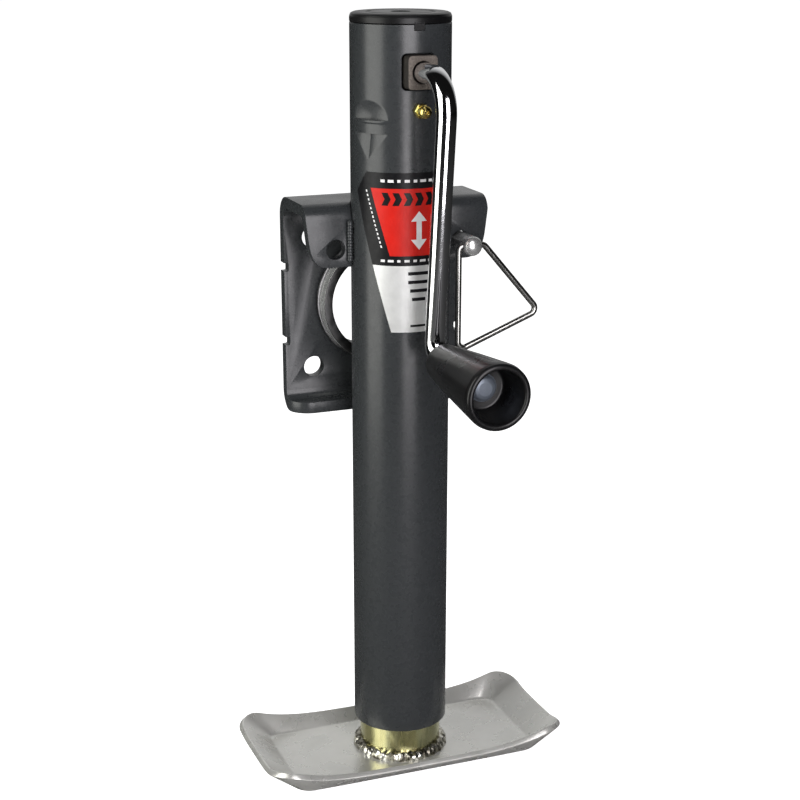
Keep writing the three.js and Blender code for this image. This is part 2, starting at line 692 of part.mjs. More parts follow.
// ---- Lock pin and pull ring --------------------------------------------------------------------
function lockPin() {
  const headEnd = PIN_FRONT_Y + 8.2;
  const pin = alongY(turned([
    [0, PIN_FRONT_Y], [2.8, PIN_FRONT_Y + 0.4], [4.4, PIN_FRONT_Y + 1.6], [PIN_HEAD_R, PIN_FRONT_Y + 3.6],
    [PIN_HEAD_R, headEnd], [PIN_R, headEnd + 0.8], [PIN_R, PIN_TIP_Y - 2.5], [PIN_R - 1.6, PIN_TIP_Y],
    [0, PIN_TIP_Y],
  ], SMALL_ROUND));
  const eye = alongX(rod(2.15, HOLE_X - 10, HOLE_X + 10)).translate(0, RING_Y, PIN_Z);
  const pocket = rod(2.1, PIN_Z + 1.6, PIN_Z + 8, 12).translate(HOLE_X, DETENT_Y, 0);
  return solid(pin.translate(HOLE_X, 0, PIN_Z)).subtract(solid(eye)).subtract(solid(pocket));
}

function detentBall() {
  return solid(new THREE.SphereGeometry(1.75, 12, 8).translate(HOLE_X, DETENT_Y, PIN_Z + 3.7));
}

function pullRing() {
  const corners = RING_CORNERS.map(([x, z]) => new THREE.Vector3(x, RING_Y, z));
  const line = bentLine(corners, [2.6, 3, 3.4, 3.4], true, 4);
  return solid(wire(line, RING_WIRE_R, new THREE.Vector3(0, 1, 0), 10, true));
}

// ---- Small pieces on the outer tube -------------------------------------------------------------
function greaseFitting() {
  const tip = FITTING_TIP_Y;
  const stem = turned([
    [0, -21.5], [2.6, -21.5], [2.6, -25.7], [4, -25.9], [4, -29.2], [2.7, -29.8],
    [2.4, tip + 3.2], [3.1, tip + 2], [2.9, tip + 0.8], [1.6, tip], [0, tip],
  ], 12);
  return solid(alongY(stem).translate(0, 0, FITTING_Z));
}

function labelSkin() {
  const skin = solid(ring(TUBE_R + 0.35, TUBE_R + 0.6, 244.5, 325));
  const outline = outlineOf([[-10.9, 240], [10.9, 240], [22.8, 330], [-22.8, 330]]);
  return skin.intersect(solid(slabXZ(outline, -30, -5)));
}

// ---- Materials ------------------------------------------------------------------------------------
function finish(color, roughness, metalness) {
  return new THREE.MeshStandardMaterial({ color, roughness, metalness });
}

const charcoalPaint = finish(0x3a3e40, 0.42, 0.3);
const chrome = finish(0xd8dadd, 0.08, 1);
const zinc = finish(0xb9bcbc, 0.35, 1);
const yellowZinc = finish(0xb9ab6c, 0.35, 1);
const darkSteel = finish(0x6f7174, 0.5, 1);
const sinteredIron = finish(0x7a7268, 0.7, 0.6);
const brass = finish(0xb8973a, 0.3, 1);
const blackPlastic = finish(0x0e0e0f, 0.35, 0);
const labelFilm = finish(0xb3261e, 0.4, 0);

// ---- Assembly ---------------------------------------------------------------------------------------
const jack = new THREE.Group();

function put(name, body, material) {
  const mesh = new THREE.Mesh(geometryOf(body), material);
  mesh.name = name;
  jack.add(mesh);
}

put('mount_pipe', mountPipe(), zinc);
put('snap_ring', snapRing(), darkSteel);
put('stop_washer', solid(pivotRing(32.1, 37, 46.5, 49.5)), zinc);

put('outer_tube', outerTube(), charcoalPaint);
put('top_cap', topCap(), blackPlastic);
const frontBushing = bushing(BUSHING_FRONT_Y, -BUSHING_INNER_Y, CRANK_R + 0.35);
const rearBushing = bushing(BUSHING_INNER_Y, BUSHING_REAR_Y, CRANK_INNER_R + 0.35);
put('crank_bushing_front', frontBushing, sinteredIron);
put('crank_bushing_rear', rearBushing, sinteredIron);
put('grease_fitting', greaseFitting(), brass);
put('bearing_seat', solid(ring(BEARING_INNER_R, 22.1, SEAT_BOTTOM, SEAT_TOP, 48)), darkSteel);
put('thrust_washer_upper', thrustWasher(SEAT_BOTTOM - FIT - 1.4), darkSteel);
put('swivel_bracket', swivelBracket(), charcoalPaint);
put('bracket_weld_left', uprightWeld(-1), charcoalPaint);
put('bracket_weld_right', uprightWeld(1), charcoalPaint);
put('bracket_weld_lower', levelWeld(27.2, BRACKET_LOW + SHEET + 1.5), charcoalPaint);
put('label_skin', labelSkin(), labelFilm);

put('inner_tube', solid(ring(RAM_INNER_R, RAM_R, PLATE + FIT, RAM_TOP)), yellowZinc);
put('lift_nut', liftNut(), darkSteel);
put('foot_plate', footPlate(), zinc);
put('foot_weld', footWeld(), zinc);

put('lead_screw', leadScrew(), darkSteel);
put('screw_gear', screwGear(), darkSteel);
put('gear_pin', crossPin(GEAR_PIN_R, 12.6, 0, GEAR_PIN_Z), darkSteel);
put('thrust_washer_lower', thrustWasher(COLLAR_TOP + FIT), darkSteel);
put('ball_cage', ballCage(), brass);

put('crank_rod', crankRod(), chrome);
put('crank_pinion', crankPinion(), darkSteel);
put('pinion_pin', crossPin(PINION_PIN_R, 5.6, PINION_PIN_Y, CRANK_Z), darkSteel);
put('crank_clip', crankClip(), darkSteel);
put('grip_retainer', gripRetainer(), zinc);
put('handle_grip', handleGrip(), blackPlastic);

put('lock_pin', lockPin(), zinc);
put('detent_ball', detentBall(), darkSteel);
put('pull_ring', pullRing(), zinc);

export default jack;
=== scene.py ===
import json
import math

import bmesh
import bpy
from mathutils import Matrix, Vector, noise

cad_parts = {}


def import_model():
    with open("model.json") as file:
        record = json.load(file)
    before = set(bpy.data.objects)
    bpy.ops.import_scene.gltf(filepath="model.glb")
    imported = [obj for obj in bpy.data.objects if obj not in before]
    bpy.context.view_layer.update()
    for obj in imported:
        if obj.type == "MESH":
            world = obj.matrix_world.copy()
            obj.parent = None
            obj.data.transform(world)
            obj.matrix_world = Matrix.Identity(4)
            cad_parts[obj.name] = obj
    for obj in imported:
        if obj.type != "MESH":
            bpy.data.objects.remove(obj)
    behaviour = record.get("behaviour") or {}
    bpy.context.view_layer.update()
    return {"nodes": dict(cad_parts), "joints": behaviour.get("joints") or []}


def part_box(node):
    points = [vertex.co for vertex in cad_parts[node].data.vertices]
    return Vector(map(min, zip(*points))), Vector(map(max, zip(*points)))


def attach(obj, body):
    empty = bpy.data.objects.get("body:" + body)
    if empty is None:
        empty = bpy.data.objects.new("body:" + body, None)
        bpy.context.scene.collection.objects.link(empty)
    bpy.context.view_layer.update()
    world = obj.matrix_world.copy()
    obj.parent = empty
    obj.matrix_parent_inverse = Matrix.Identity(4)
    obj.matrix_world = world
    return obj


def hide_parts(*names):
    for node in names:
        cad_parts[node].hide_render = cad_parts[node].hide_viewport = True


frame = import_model()

MM = 0.001
ZERO = 1e-9                    # lengths under this count as nothing
SAME_POINT, NO_EDGE = 2e-7, 1e-8
JOINTS = {joint["name"]: joint for joint in frame["joints"]}
X_AXIS, Y_AXIS, Z_AXIS = Vector((1, 0, 0)), Vector((0, 1, 0)), Vector((0, 0, 1))


def joint_at(name):
    return Vector(JOINTS[name]["pos_m"])


# ---- Sizes read from the frame ----
tube_low, tube_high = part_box("outer_tube")
TUBE_R = tube_high.x
TUBE_WALL = 2.77 * MM
TUBE_BOTTOM, TUBE_TOP = tube_low.z, tube_high.z
CAP_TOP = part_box("top_cap")[1].z
RAM_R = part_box("inner_tube")[1].x
RAM_BOTTOM, RAM_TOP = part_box("inner_tube")[0].z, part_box("inner_tube")[1].z
SEAT_LOW, SEAT_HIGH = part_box("bearing_seat")[0].z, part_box("bearing_seat")[1].z
CRANK_Z = joint_at("crank_turn").z
CRANK_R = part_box("crank_rod")[1].x
GRIP_Z = joint_at("grip_spin").z
PIVOT = joint_at("swivel")
PIPE_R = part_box("mount_pipe")[1].x
EYE = joint_at("ring_swing")
FOOT_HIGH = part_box("foot_plate")[1]


# ---- Camera ----
CAMERA_FROM_AXIS = 0.8579      # horizontal distance from the tube's axis
CAMERA_HEIGHT = 0.4535
CAMERA_AZIMUTH = math.radians(-21.46)
CAMERA_HEADING = math.radians(21.31)
CAMERA_PITCH = math.radians(18.33)
CAMERA_LENS = 76.03            # mm, on a sensor 36 mm wide
CAMERA_SHIFT = 0.005, 0.0756


def make_camera():
    data = bpy.data.cameras.new("camera")
    data.sensor_width = 36
    data.lens = CAMERA_LENS
    data.shift_x, data.shift_y = CAMERA_SHIFT
    data.clip_start = 0.01
    camera = bpy.data.objects.new("camera", data)
    camera.location = (
        CAMERA_FROM_AXIS * math.sin(CAMERA_AZIMUTH),
        -CAMERA_FROM_AXIS * math.cos(CAMERA_AZIMUTH),
        CAMERA_HEIGHT,
    )
    camera.rotation_euler = (math.pi / 2 - CAMERA_PITCH, 0, -CAMERA_HEADING)
    bpy.context.scene.collection.objects.link(camera)
    bpy.context.scene.camera = camera


make_camera()


# ---- Outlines, lofts and sweeps ----
def soften(points, radius, steps, closed=True):
    """The same outline, in 2-D or 3-D, with each corner turned into an arc of about this radius."""
    points = [Vector(p) for p in points]
    made = []
    count = len(points)
    for i, corner in enumerate(points):
        if not closed and i in (0, count - 1):
            made.append(corner.copy())
            continue
        before = points[i - 1] - corner
        after = points[(i + 1) % count] - corner
        angle = before.angle(after, math.pi)
        reach = min(radius / max(math.tan(angle / 2), 1e-6), 0.45 * before.length, 0.45 * after.length)
        start = corner + before.normalized() * reach
        end = corner + after.normalized() * reach
        for step in range(steps + 1):
            t = step / steps
            made.append(start * (1 - t) ** 2 + corner * 2 * t * (1 - t) + end * t ** 2)
    return made


def loft(rings, closed=False, caps=True):
    """Points and faces of a skin through rings that hold the same number of points."""
    count = len(rings[0])
    points = [Vector(p) for ring in rings for p in ring]
    faces = []
    spans = len(rings) if closed else len(rings) - 1
    for k in range(spans):
        here, there = k * count, ((k + 1) % len(rings)) * count
        for i in range(count):
            j = (i + 1) % count
            faces.append((here + i, here + j, there + j, there + i))
    if caps and not closed:
        faces.append(tuple(reversed(range(count))))
        last = (len(rings) - 1) * count
        faces.append(tuple(range(last, last + count)))
    return points, faces


def compass(count):
    """Cosine and sine of this many directions round a circle."""
    turns = [2 * math.pi * i / count for i in range(count)]
    return [(math.cos(turn), math.sin(turn)) for turn in turns]


def turned(profile, sides):
    """A profile of (radius, height) turned about Z, closed on itself or from axis to axis."""
    on_axis = [r < ZERO for r, _ in profile]
    body = [(r, h) for r, h in profile if r >= ZERO]
    rings = [[(r * c, r * s, h) for c, s in compass(sides)] for r, h in body]
    points, faces = loft(rings, closed=not any(on_axis), caps=False)
    for first, pole in ((True, profile[0]), (False, profile[-1])):
        if pole[0] >= ZERO:
            continue
        start = 0 if first else (len(body) - 1) * sides
        if abs(pole[1] - body[0 if first else -1][1]) < ZERO:
            faces.append(tuple(range(start, start + sides)))
            continue
        centre = len(points)
        points.append(Vector((0, 0, pole[1])))
        faces += [(centre, start + i, start + (i + 1) % sides) for i in range(sides)]
    return points, faces


def moved(shape, matrix):
    points, faces = shape
    return [matrix @ Vector(p) for p in points], faces


def lathe(profile, sides, matrix):
    """A profile in mm turned about Z and placed by the matrix."""
    return moved(turned([(r * MM, h * MM) for r, h in profile], sides), matrix)


def to_axis(profile):
    """The profile with its two ends joined to the axis."""
    return [(0, profile[0].y), *profile, (0, profile[-1].y)]


def along_y(centre):
    """Turns +Z to +Y and moves the origin to centre."""
    return Matrix.Translation(Vector(centre)) @ Matrix.Rotation(-math.pi / 2, 4, "X")


def bent_line(corners, radii, steps, closed=False):
    """Stations of place and direction along straight runs joined by arcs."""
    corners = [Vector(c) for c in corners]
    stations = []
    total = len(corners)
    for i, corner in enumerate(corners):
        if not closed and i in (0, total - 1):
            run = corners[1] - corner if i == 0 else corner - corners[-2]
            stations.append((corner.copy(), run.normalized()))
            continue
        before = (corners[i - 1] - corner).normalized()
        after = (corners[(i + 1) % total] - corner).normalized()
        half = before.angle(after) / 2
        reach = radii[i] / math.tan(half)
        centre = corner + (before + after).normalized() * radii[i] / math.sin(half)
        start = corner + before * reach - centre
        end = corner + after * reach - centre
        axis = start.cross(end).normalized()
        sweep = start.angle(end)
        for step in range(steps + 1):
            arm = Matrix.Rotation(sweep * step / steps, 3, axis) @ start
            stations.append((centre + arm, axis.cross(arm).normalized()))
    return stations


def wire(stations, radii, side, sides, closed=False):
    """A round wire along the stations, with one radius at each."""
    rings = []
    for (place, along), radius in zip(stations, radii):
        across = along.cross(side).normalized()
        rings.append([place + side * radius * c + across * radius * s for c, s in compass(sides)])
    return loft(rings, closed=closed)


# ---- Meshes ----
def new_object(name, points, faces):
    data = bpy.data.meshes.new(name)
    data.from_pydata(points, [], faces)
    thing = bpy.data.objects.new(name, data)
    bpy.context.scene.collection.objects.link(thing)
    return thing


def joined(shapes):
    """The points and faces of all these shapes, each a list of points and a list of faces."""
    points, faces = [], []
    for shape_points, shape_faces in shapes:
        start = len(points)
        points.extend(tuple(p) for p in shape_points)
        faces.extend(tuple(start + k for k in face) for face in shape_faces)
    return points, faces


def mesh_object(name, *shapes):
    """One object that holds these shapes, with doubled points merged and its faces turned outwards."""
    thing = new_object(name, *joined(shapes))
    made = bmesh.new()
    made.from_mesh(thing.data)
    bmesh.ops.remove_doubles(made, verts=made.verts, dist=SAME_POINT)
    bmesh.ops.dissolve_degenerate(made, dist=NO_EDGE, edges=made.edges)
    bmesh.ops.recalc_face_normals(made, faces=made.faces)
    made.to_mesh(thing.data)
    made.free()
    return thing


def bake_modifiers(thing):
    bpy.context.view_layer.update()
    shown = thing.evaluated_get(bpy.context.evaluated_depsgraph_get())
    data = bpy.data.meshes.new_from_object(shown)
    thing.modifiers.clear()
    thing.data = data


def cut(thing, *cutters):
    """Takes the cutters, which are shapes, out of the object."""
    tools = [mesh_object("cutter", cutter) for cutter in cutters]
    for tool in tools:
        step = thing.modifiers.new("cut", "BOOLEAN")
        step.operation = "DIFFERENCE"
        step.solver = "EXACT"
        step.object = tool
    bake_modifiers(thing)
    for tool in tools:
        bpy.data.objects.remove(tool)


def round_edges(thing, width, segments, angle=30):
    step = thing.modifiers.new("round", "BEVEL")
    step.width = width
    step.segments = segments
    step.limit_method = "ANGLE"
    step.angle_limit = math.radians(angle)
    step.use_clamp_overlap = True
    bake_modifiers(thing)


def settle(thing, body, look, replaces, sharp=35):
    """Smooths the piece, gives it its look, joins it to its body and hides the CAD nodes it replaces."""
    thing.data.polygons.foreach_set("use_smooth", [True] * len(thing.data.polygons))
    thing.data.set_sharp_from_angle(angle=math.radians(sharp))
    thing.data.materials.clear()
    thing.data.materials.append(look)
    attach(thing, body)
    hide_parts(*replaces)


def repaint(thing, look, wanted):
    """Gives the faces that are wanted a second look."""
    thing.data.materials.append(look)
    for face in thing.data.polygons:
        if wanted(face):
            face.material_index = 1


# ---- Materials ----
def new_look(name, metallic=0.0, specular=0.5):
    look = bpy.data.materials.new(name)
    look.use_nodes = True
    tree = look.node_tree
    shader = tree.nodes["Principled BSDF"]
    shader.inputs["Metallic"].default_value = metallic
    shader.inputs["Specular IOR Level"].default_value = specular
    place = tree.nodes.new("ShaderNodeTexCoord").outputs["Object"]
    return look, tree, shader, place


def add(tree, kind, inputs):
    """A new node, with each of these inputs linked to a socket or set to a value."""
    node = tree.nodes.new("ShaderNode" + kind)
    for name, given in inputs.items():
        if isinstance(given, bpy.types.NodeSocket):
            tree.links.new(given, node.inputs[name])
        else:
            node.inputs[name].default_value = given
    return node


def stretched(tree, place, scale):
    return add(tree, "Mapping", {"Vector": place, "Scale": scale}).outputs["Vector"]


def noise_on(tree, place, scale, detail, roughness=0.5):
    inputs = {"Vector": place, "Scale": scale, "Detail": detail, "Roughness": roughness}
    return add(tree, "TexNoise", inputs).outputs["Fac"]


def cells_on(tree, place, scale):
    return add(tree, "TexVoronoi", {"Vector": place, "Scale": scale}).outputs["Distance"]


def colours(tree, value, shader, stops):
    """Base colour from a value, through a ramp with these stops of (value, colour)."""
    ramp = tree.nodes.new("ShaderNodeValToRGB")
    ramp.color_ramp.elements.remove(ramp.color_ramp.elements[1])
    for k, (at, colour) in enumerate(stops):
        stop = ramp.color_ramp.elements[0] if k == 0 else ramp.color_ramp.elements.new(at)
        stop.position = at
        stop.color = (*colour, 1)
    tree.links.new(value, ramp.inputs["Fac"])
    tree.links.new(ramp.outputs["Color"], shader.inputs["Base Color"])


def between(tree, value, low, high, socket, from_low=0.3, from_high=0.7):
    """The value moved into the range from low to high, and linked to the socket if there is one."""
    node = add(tree, "MapRange", {
        "Value": value, "From Min": from_low, "From Max": from_high, "To Min": low, "To Max": high,
    })
    if socket is not None:
        tree.links.new(node.outputs["Result"], socket)
    return node.outputs["Result"]


def bumps(tree, shader, *layers):
    """Layers of (height value, distance in metres, strength), each laid over the one before."""
    under = {}
    for value, distance, strength in layers:
        node = add(tree, "Bump", {"Height": value, "Distance": distance, "Strength": strength, **under})
        under = {"Normal": node.outputs["Normal"]}
    tree.links.new(under["Normal"], shader.inputs["Normal"])


def powder_coat():
    """Charcoal powder coat: orange peel, faint mottling and a soft sheen."""
    look, tree, shader, place = new_look("charcoal_powder_coat")
    mottle = noise_on(tree, place, 55, 4)
    colours(tree, mottle, shader, [(0.3, (0.029, 0.032, 0.034)), (0.7, (0.031, 0.034, 0.036))])
    between(tree, noise_on(tree, place, 260, 3), 0.25, 0.31, shader.inputs["Roughness"])
    bumps(
        tree, shader,
        (noise_on(tree, place, 620, 2), 0.00003, 0.12),
        (noise_on(tree, place, 2600, 2), 0.00001, 0.2),
    )
    shader.inputs["IOR"].default_value = 1.5
    return look


def chrome():
    look, tree, shader, place = new_look("bright_chrome", 1)
    cloud = noise_on(tree, place, 90, 3)
    colours(tree, cloud, shader, [(0.3, (0.80, 0.81, 0.83)), (0.7, (0.88, 0.89, 0.90))])
    rub = noise_on(tree, stretched(tree, place, (2400, 2400, 160)), 1, 3)
    between(tree, rub, 0.035, 0.11, shader.inputs["Roughness"])
    bumps(tree, shader, (noise_on(tree, place, 240, 2), 0.00005, 0.22), (rub, 0.000006, 0.25))
    return look


def zinc(name, dark, light, rough, metal, swell):
    """Zinc plate: cloudy spangle and fine grain. Metal below 1 gives it a milky bloom."""
    look, tree, shader, place = new_look(name, metal)
    cloud = noise_on(tree, place, 60, 4)
    colours(tree, cloud, shader, [(0.34, dark), (0.66, light)])
    grain = noise_on(tree, place, 1500, 3, 0.6)
    between(tree, cloud, rough - 0.05, rough + 0.06, shader.inputs["Roughness"])
    bumps(tree, shader, (cloud, 0.0002, swell), (grain, 0.00001, 0.3))
    return look


def yellow_zinc():
    """Yellow zinc on the inner tube, with its green and straw clouds and drawn lines."""
    look, tree, shader, place = new_look("yellow_zinc", 1)
    cloud = noise_on(tree, stretched(tree, place, (60, 60, 22)), 1, 4, 0.6)
    colours(tree, cloud, shader, [
        (0.28, (0.46, 0.45, 0.22)), (0.45, (0.66, 0.62, 0.33)),
        (0.58, (0.60, 0.60, 0.36)), (0.72, (0.72, 0.64, 0.36)),
    ])
    drawn = noise_on(tree, stretched(tree, place, (1800, 1800, 50)), 1, 3)
    between(tree, drawn, 0.16, 0.3, shader.inputs["Roughness"])
    bumps(tree, shader, (drawn, 0.00001, 0.4), (cloud, 0.0002, 0.15))
    return look


def weld_metal():
    look, tree, shader, place = new_look("weld_bead", 1)
    scale = noise_on(tree, place, 190, 4, 0.6)
    colours(tree, scale, shader, [
        (0.38, (0.10, 0.09, 0.07)), (0.48, (0.50, 0.48, 0.40)), (0.6, (0.86, 0.85, 0.80)),
    ])
    between(tree, scale, 0.4, 0.14, shader.inputs["Roughness"])
    bumps(tree, shader, (noise_on(tree, place, 330, 3), 0.0008, 0.6))
    return look


def sintered_iron(name, share):
    """Porous brown-grey iron; share scales its colour down. A small share makes the painted shade for the
    bushings' sides and bores.
    """
    look, tree, shader, place = new_look(name, 0.35)
    grain = noise_on(tree, place, 900, 5, 0.7)
    pores = cells_on(tree, place, 2400)
    tones = ((0.32, (0.10, 0.085, 0.07)), (0.52, (0.21, 0.18, 0.155)), (0.7, (0.32, 0.28, 0.24)))
    colours(tree, grain, shader, [(at, tuple(share * part for part in tone)) for at, tone in tones])
    between(tree, grain, 0.5, 0.72, shader.inputs["Roughness"])
    bumps(tree, shader, (pores, 0.0001, 0.7), (grain, 0.0001, 0.5))
    return look


def black_plastic(name, low, high, peel_scale, specular):
    look, tree, shader, place = new_look(name, 0, specular)
    cloud = noise_on(tree, place, 60, 3)
    colours(tree, cloud, shader, [(0.3, (0.004, 0.004, 0.0045)), (0.7, (0.007, 0.007, 0.0075))])
    between(tree, cloud, low, high, shader.inputs["Roughness"])
    bumps(tree, shader, (noise_on(tree, place, peel_scale, 3), 0.00006, 0.35))
    return look


def brass():
    look, tree, shader, place = new_look("satin_brass", 1)
    tint = noise_on(tree, place, 120, 3)
    colours(tree, tint, shader, [
        (0.3, (0.52, 0.40, 0.10)), (0.55, (0.78, 0.62, 0.20)), (0.72, (0.70, 0.68, 0.26)),
    ])
    between(tree, tint, 0.2, 0.32, shader.inputs["Roughness"])
    bumps(tree, shader, (noise_on(tree, place, 600, 2), 0.00002, 0.2))
    return look


def oiled_steel(name, dark, light):
    look, tree, shader, place = new_look(name, 1)
    tint = noise_on(tree, place, 180, 5)
    colours(tree, tint, shader, [(0.3, (dark,) * 3), (0.7, (light,) * 3)])
    between(tree, tint, 0.28, 0.5, shader.inputs["Roughness"])
    bumps(tree, shader, (noise_on(tree, place, 1500, 4), 0.00003, 0.5))
    return look


def ink(name, dark, light, rough, metallic=0.0, specular=0.5):
    """Printed film: a little uneven, with the fine texture of the vinyl under it."""
    look, tree, shader, place = new_look(name, metallic, specular)
    colours(tree, noise_on(tree, place, 160, 4), shader, [(0.3, dark), (0.7, light)])
    between(tree, noise_on(tree, place, 500, 3), rough - 0.06, rough + 0.06, shader.inputs["Roughness"])
    bumps(tree, shader, (noise_on(tree, place, 700, 2), 0.00003, 0.2))
    return look


PAINT = powder_coat()
CHROME = chrome()
BRIGHT_ZINC = zinc("bright_zinc", (0.64, 0.65, 0.64), (0.80, 0.81, 0.80), 0.25, 0.8, 0.08)
FOOT_ZINC = zinc("foot_plate_zinc", (0.62, 0.62, 0.59), (0.70, 0.70, 0.67), 0.27, 0.6, 0.02)
WIRE_ZINC = zinc("wire_zinc", (0.40, 0.40, 0.38), (0.52, 0.52, 0.50), 0.24, 1.0, 0.05)
DULL_ZINC = zinc("dull_zinc", (0.13, 0.15, 0.18), (0.20, 0.23, 0.27), 0.42, 0.5, 0.05)
YELLOW_ZINC = yellow_zinc()
WELD = weld_metal()
SINTERED = sintered_iron("sintered_iron", 0.7)
# A much darker copy of the iron: painted shade for the bushings' sides and bores.
SINTERED_PAINTED_SHADE = sintered_iron("sintered_iron_painted_shade", 0.12)
CAP_PLASTIC = black_plastic("cap_plastic", 0.3, 0.4, 900, 0.3)
GRIP_PLASTIC = black_plastic("grip_plastic", 0.26, 0.34, 420, 0.4)
BRASS = brass()
STEEL = oiled_steel("oiled_steel", 0.17, 0.33)
# A dark steel copy: painted shade for the pivot pipe's front face and bore.
PIPE_PAINTED_SHADE = oiled_steel("pipe_painted_shade", 0.07, 0.12)
LABEL_BLACK = ink("label_black", (0.004, 0.004, 0.005), (0.008, 0.008, 0.009), 0.35, 0.0, 0.2)
LABEL_RED = ink("label_red", (0.50, 0.008, 0.003), (0.56, 0.011, 0.005), 0.42, 0.0, 0.25)
LABEL_SILVER = ink("label_silver", (0.58, 0.59, 0.58), (0.68, 0.69, 0.68), 0.38, 0.3)
LABEL_WHITE = ink("label_white", (0.66, 0.66, 0.66), (0.78, 0.78, 0.78), 0.35)


# ---- Outer tube ----
CRIMP_AZIMUTHS = [math.radians(a) for a in (-60, 60, 180)]
CRIMP_DEPTH = 2.4 * MM
CRIMP_HALF = 10.8 * MM         # half width of a crimp, round the tube
UPPER_RISE, LOWER_DROP = 9.5 * MM, 12.5 * MM
LIP, LIP_RISE = 2 * MM, 0.4 * MM
UPPER_FLAT = SEAT_HIGH + 0.4 * MM
LOWER_FLAT = SEAT_LOW - 0.3 * MM
WINDOW_HALF = 8.5 * MM
WINDOW_LOW, WINDOW_HIGH = CRANK_Z - 8.6 * MM, CRANK_Z + 8.4 * MM


def wrap(angle):
    return (angle + math.pi) % (2 * math.pi) - math.pi


def on_tube(azimuth, z, radius):
    """A place at this azimuth, counted from the crank side towards +X."""
    return Vector((radius * math.sin(azimuth), -radius * math.cos(azimuth), z))


def crimp_depth(azimuth, z):
    """How far the wall is pressed in: a round scoop over the bearing seat, a pointed one under it.

    Just below the upper scoop the sheared edge stands a little proud, so the depth is negative there.
    """
    depth = 0.0
    for middle in CRIMP_AZIMUTHS:
        across = abs(TUBE_R * wrap(azimuth - middle)) / CRIMP_HALF
        if z >= UPPER_FLAT:
            reach = math.hypot(across, (z - UPPER_FLAT) / UPPER_RISE)
            depth += CRIMP_DEPTH * max(0.0, 1 - reach ** 1.5)
        elif z <= LOWER_FLAT:
            down = (LOWER_FLAT - z) / LOWER_DROP
            if down < 1:
                depth += 0.8 * CRIMP_DEPTH * (1 - down) * max(0.0, 1 - across / (1 - down))
        elif UPPER_FLAT - z < LIP and across < 1:
            depth -= LIP_RISE * math.sin(math.pi * (UPPER_FLAT - z) / LIP) * (1 - across ** 4)
    return depth


def tube_rows():
    """Heights of the tube's rings, close together round the crimps."""
    plain_top, close_from = 0.328, 0.329
    shares = (0.02, 0.2, 0.4, 0.6, 0.8, 0.97)
    rows = [TUBE_BOTTOM + share * (plain_top - TUBE_BOTTOM) for share in shares]
    step = 0.45 * MM
    rows += [close_from + k * step for k in range(int((LOWER_FLAT - close_from) / step))]
    rows += [LOWER_FLAT, LOWER_FLAT + 0.02 * MM, (LOWER_FLAT + UPPER_FLAT) / 2]
    rows += [UPPER_FLAT - LIP * (1 - k / 8) for k in range(8)]
    rows += [UPPER_FLAT - 0.02 * MM, UPPER_FLAT]
    rows += [UPPER_FLAT + k * step for k in range(1, 26)]
    top = rows[-1]
    rows += [top + share * (TUBE_TOP - top) for share in (0.15, 0.35, 0.55, 0.75, 0.97)]
    return rows


def window_cutter(side):
    """Square window with round corners and a broken edge, at the crank (-1) or the rear (1)."""
    middle = (WINDOW_LOW + WINDOW_HIGH) / 2
    broken = 0.5 * MM
    rings = []
    for radius, grow in (
        (20 * MM, 0), (TUBE_R - broken, 0), (TUBE_R + 0.02 * MM, broken), (TUBE_R + 2 * MM, 2.2 * MM),
    ):
        half_x, half_z = WINDOW_HALF + grow, (WINDOW_HIGH - WINDOW_LOW) / 2 + grow
        loop = []
        for x, z in rounded_square(half_x, half_z, 2.2 * MM + grow, middle):
            loop.append(Vector((x, side * math.sqrt(radius ** 2 - x ** 2), z)))
        rings.append(loop)
    return loft(rings)


def rounded_square(half_x, half_z, radius, middle, corner_steps=8, side_steps=(10, 10)):
    """Points of (x, z) round a rectangle with round corners, the same number whatever its size."""
    flat_x, flat_z = half_x - radius, half_z - radius
    points = []
    for quarter, (sign_x, sign_z) in enumerate(((1, 1), (-1, 1), (-1, -1), (1, -1))):
        start = math.pi / 2 * quarter
        for step in range(corner_steps + 1):
            angle = start + math.pi / 2 * step / corner_steps
            points.append((
                sign_x * flat_x + radius * math.cos(angle),
                middle + sign_z * flat_z + radius * math.sin(angle),
            ))
        steps = side_steps[quarter % 2]
        for step in range(1, steps):
            share = 1 - 2 * step / steps
            if quarter % 2 == 0:
                points.append((sign_x * flat_x * share, middle + sign_z * half_z))
            else:
                points.append((sign_x * half_x, middle + sign_z * flat_z * share))
    return points


def block(low, high):
    xs, ys, zs = zip(low, high)
    ring = lambda z: [(xs[0], ys[0], z), (xs[1], ys[0], z), (xs[1], ys[1], z), (xs[0], ys[1], z)]
    return loft([ring(zs[0]), ring(zs[1])])


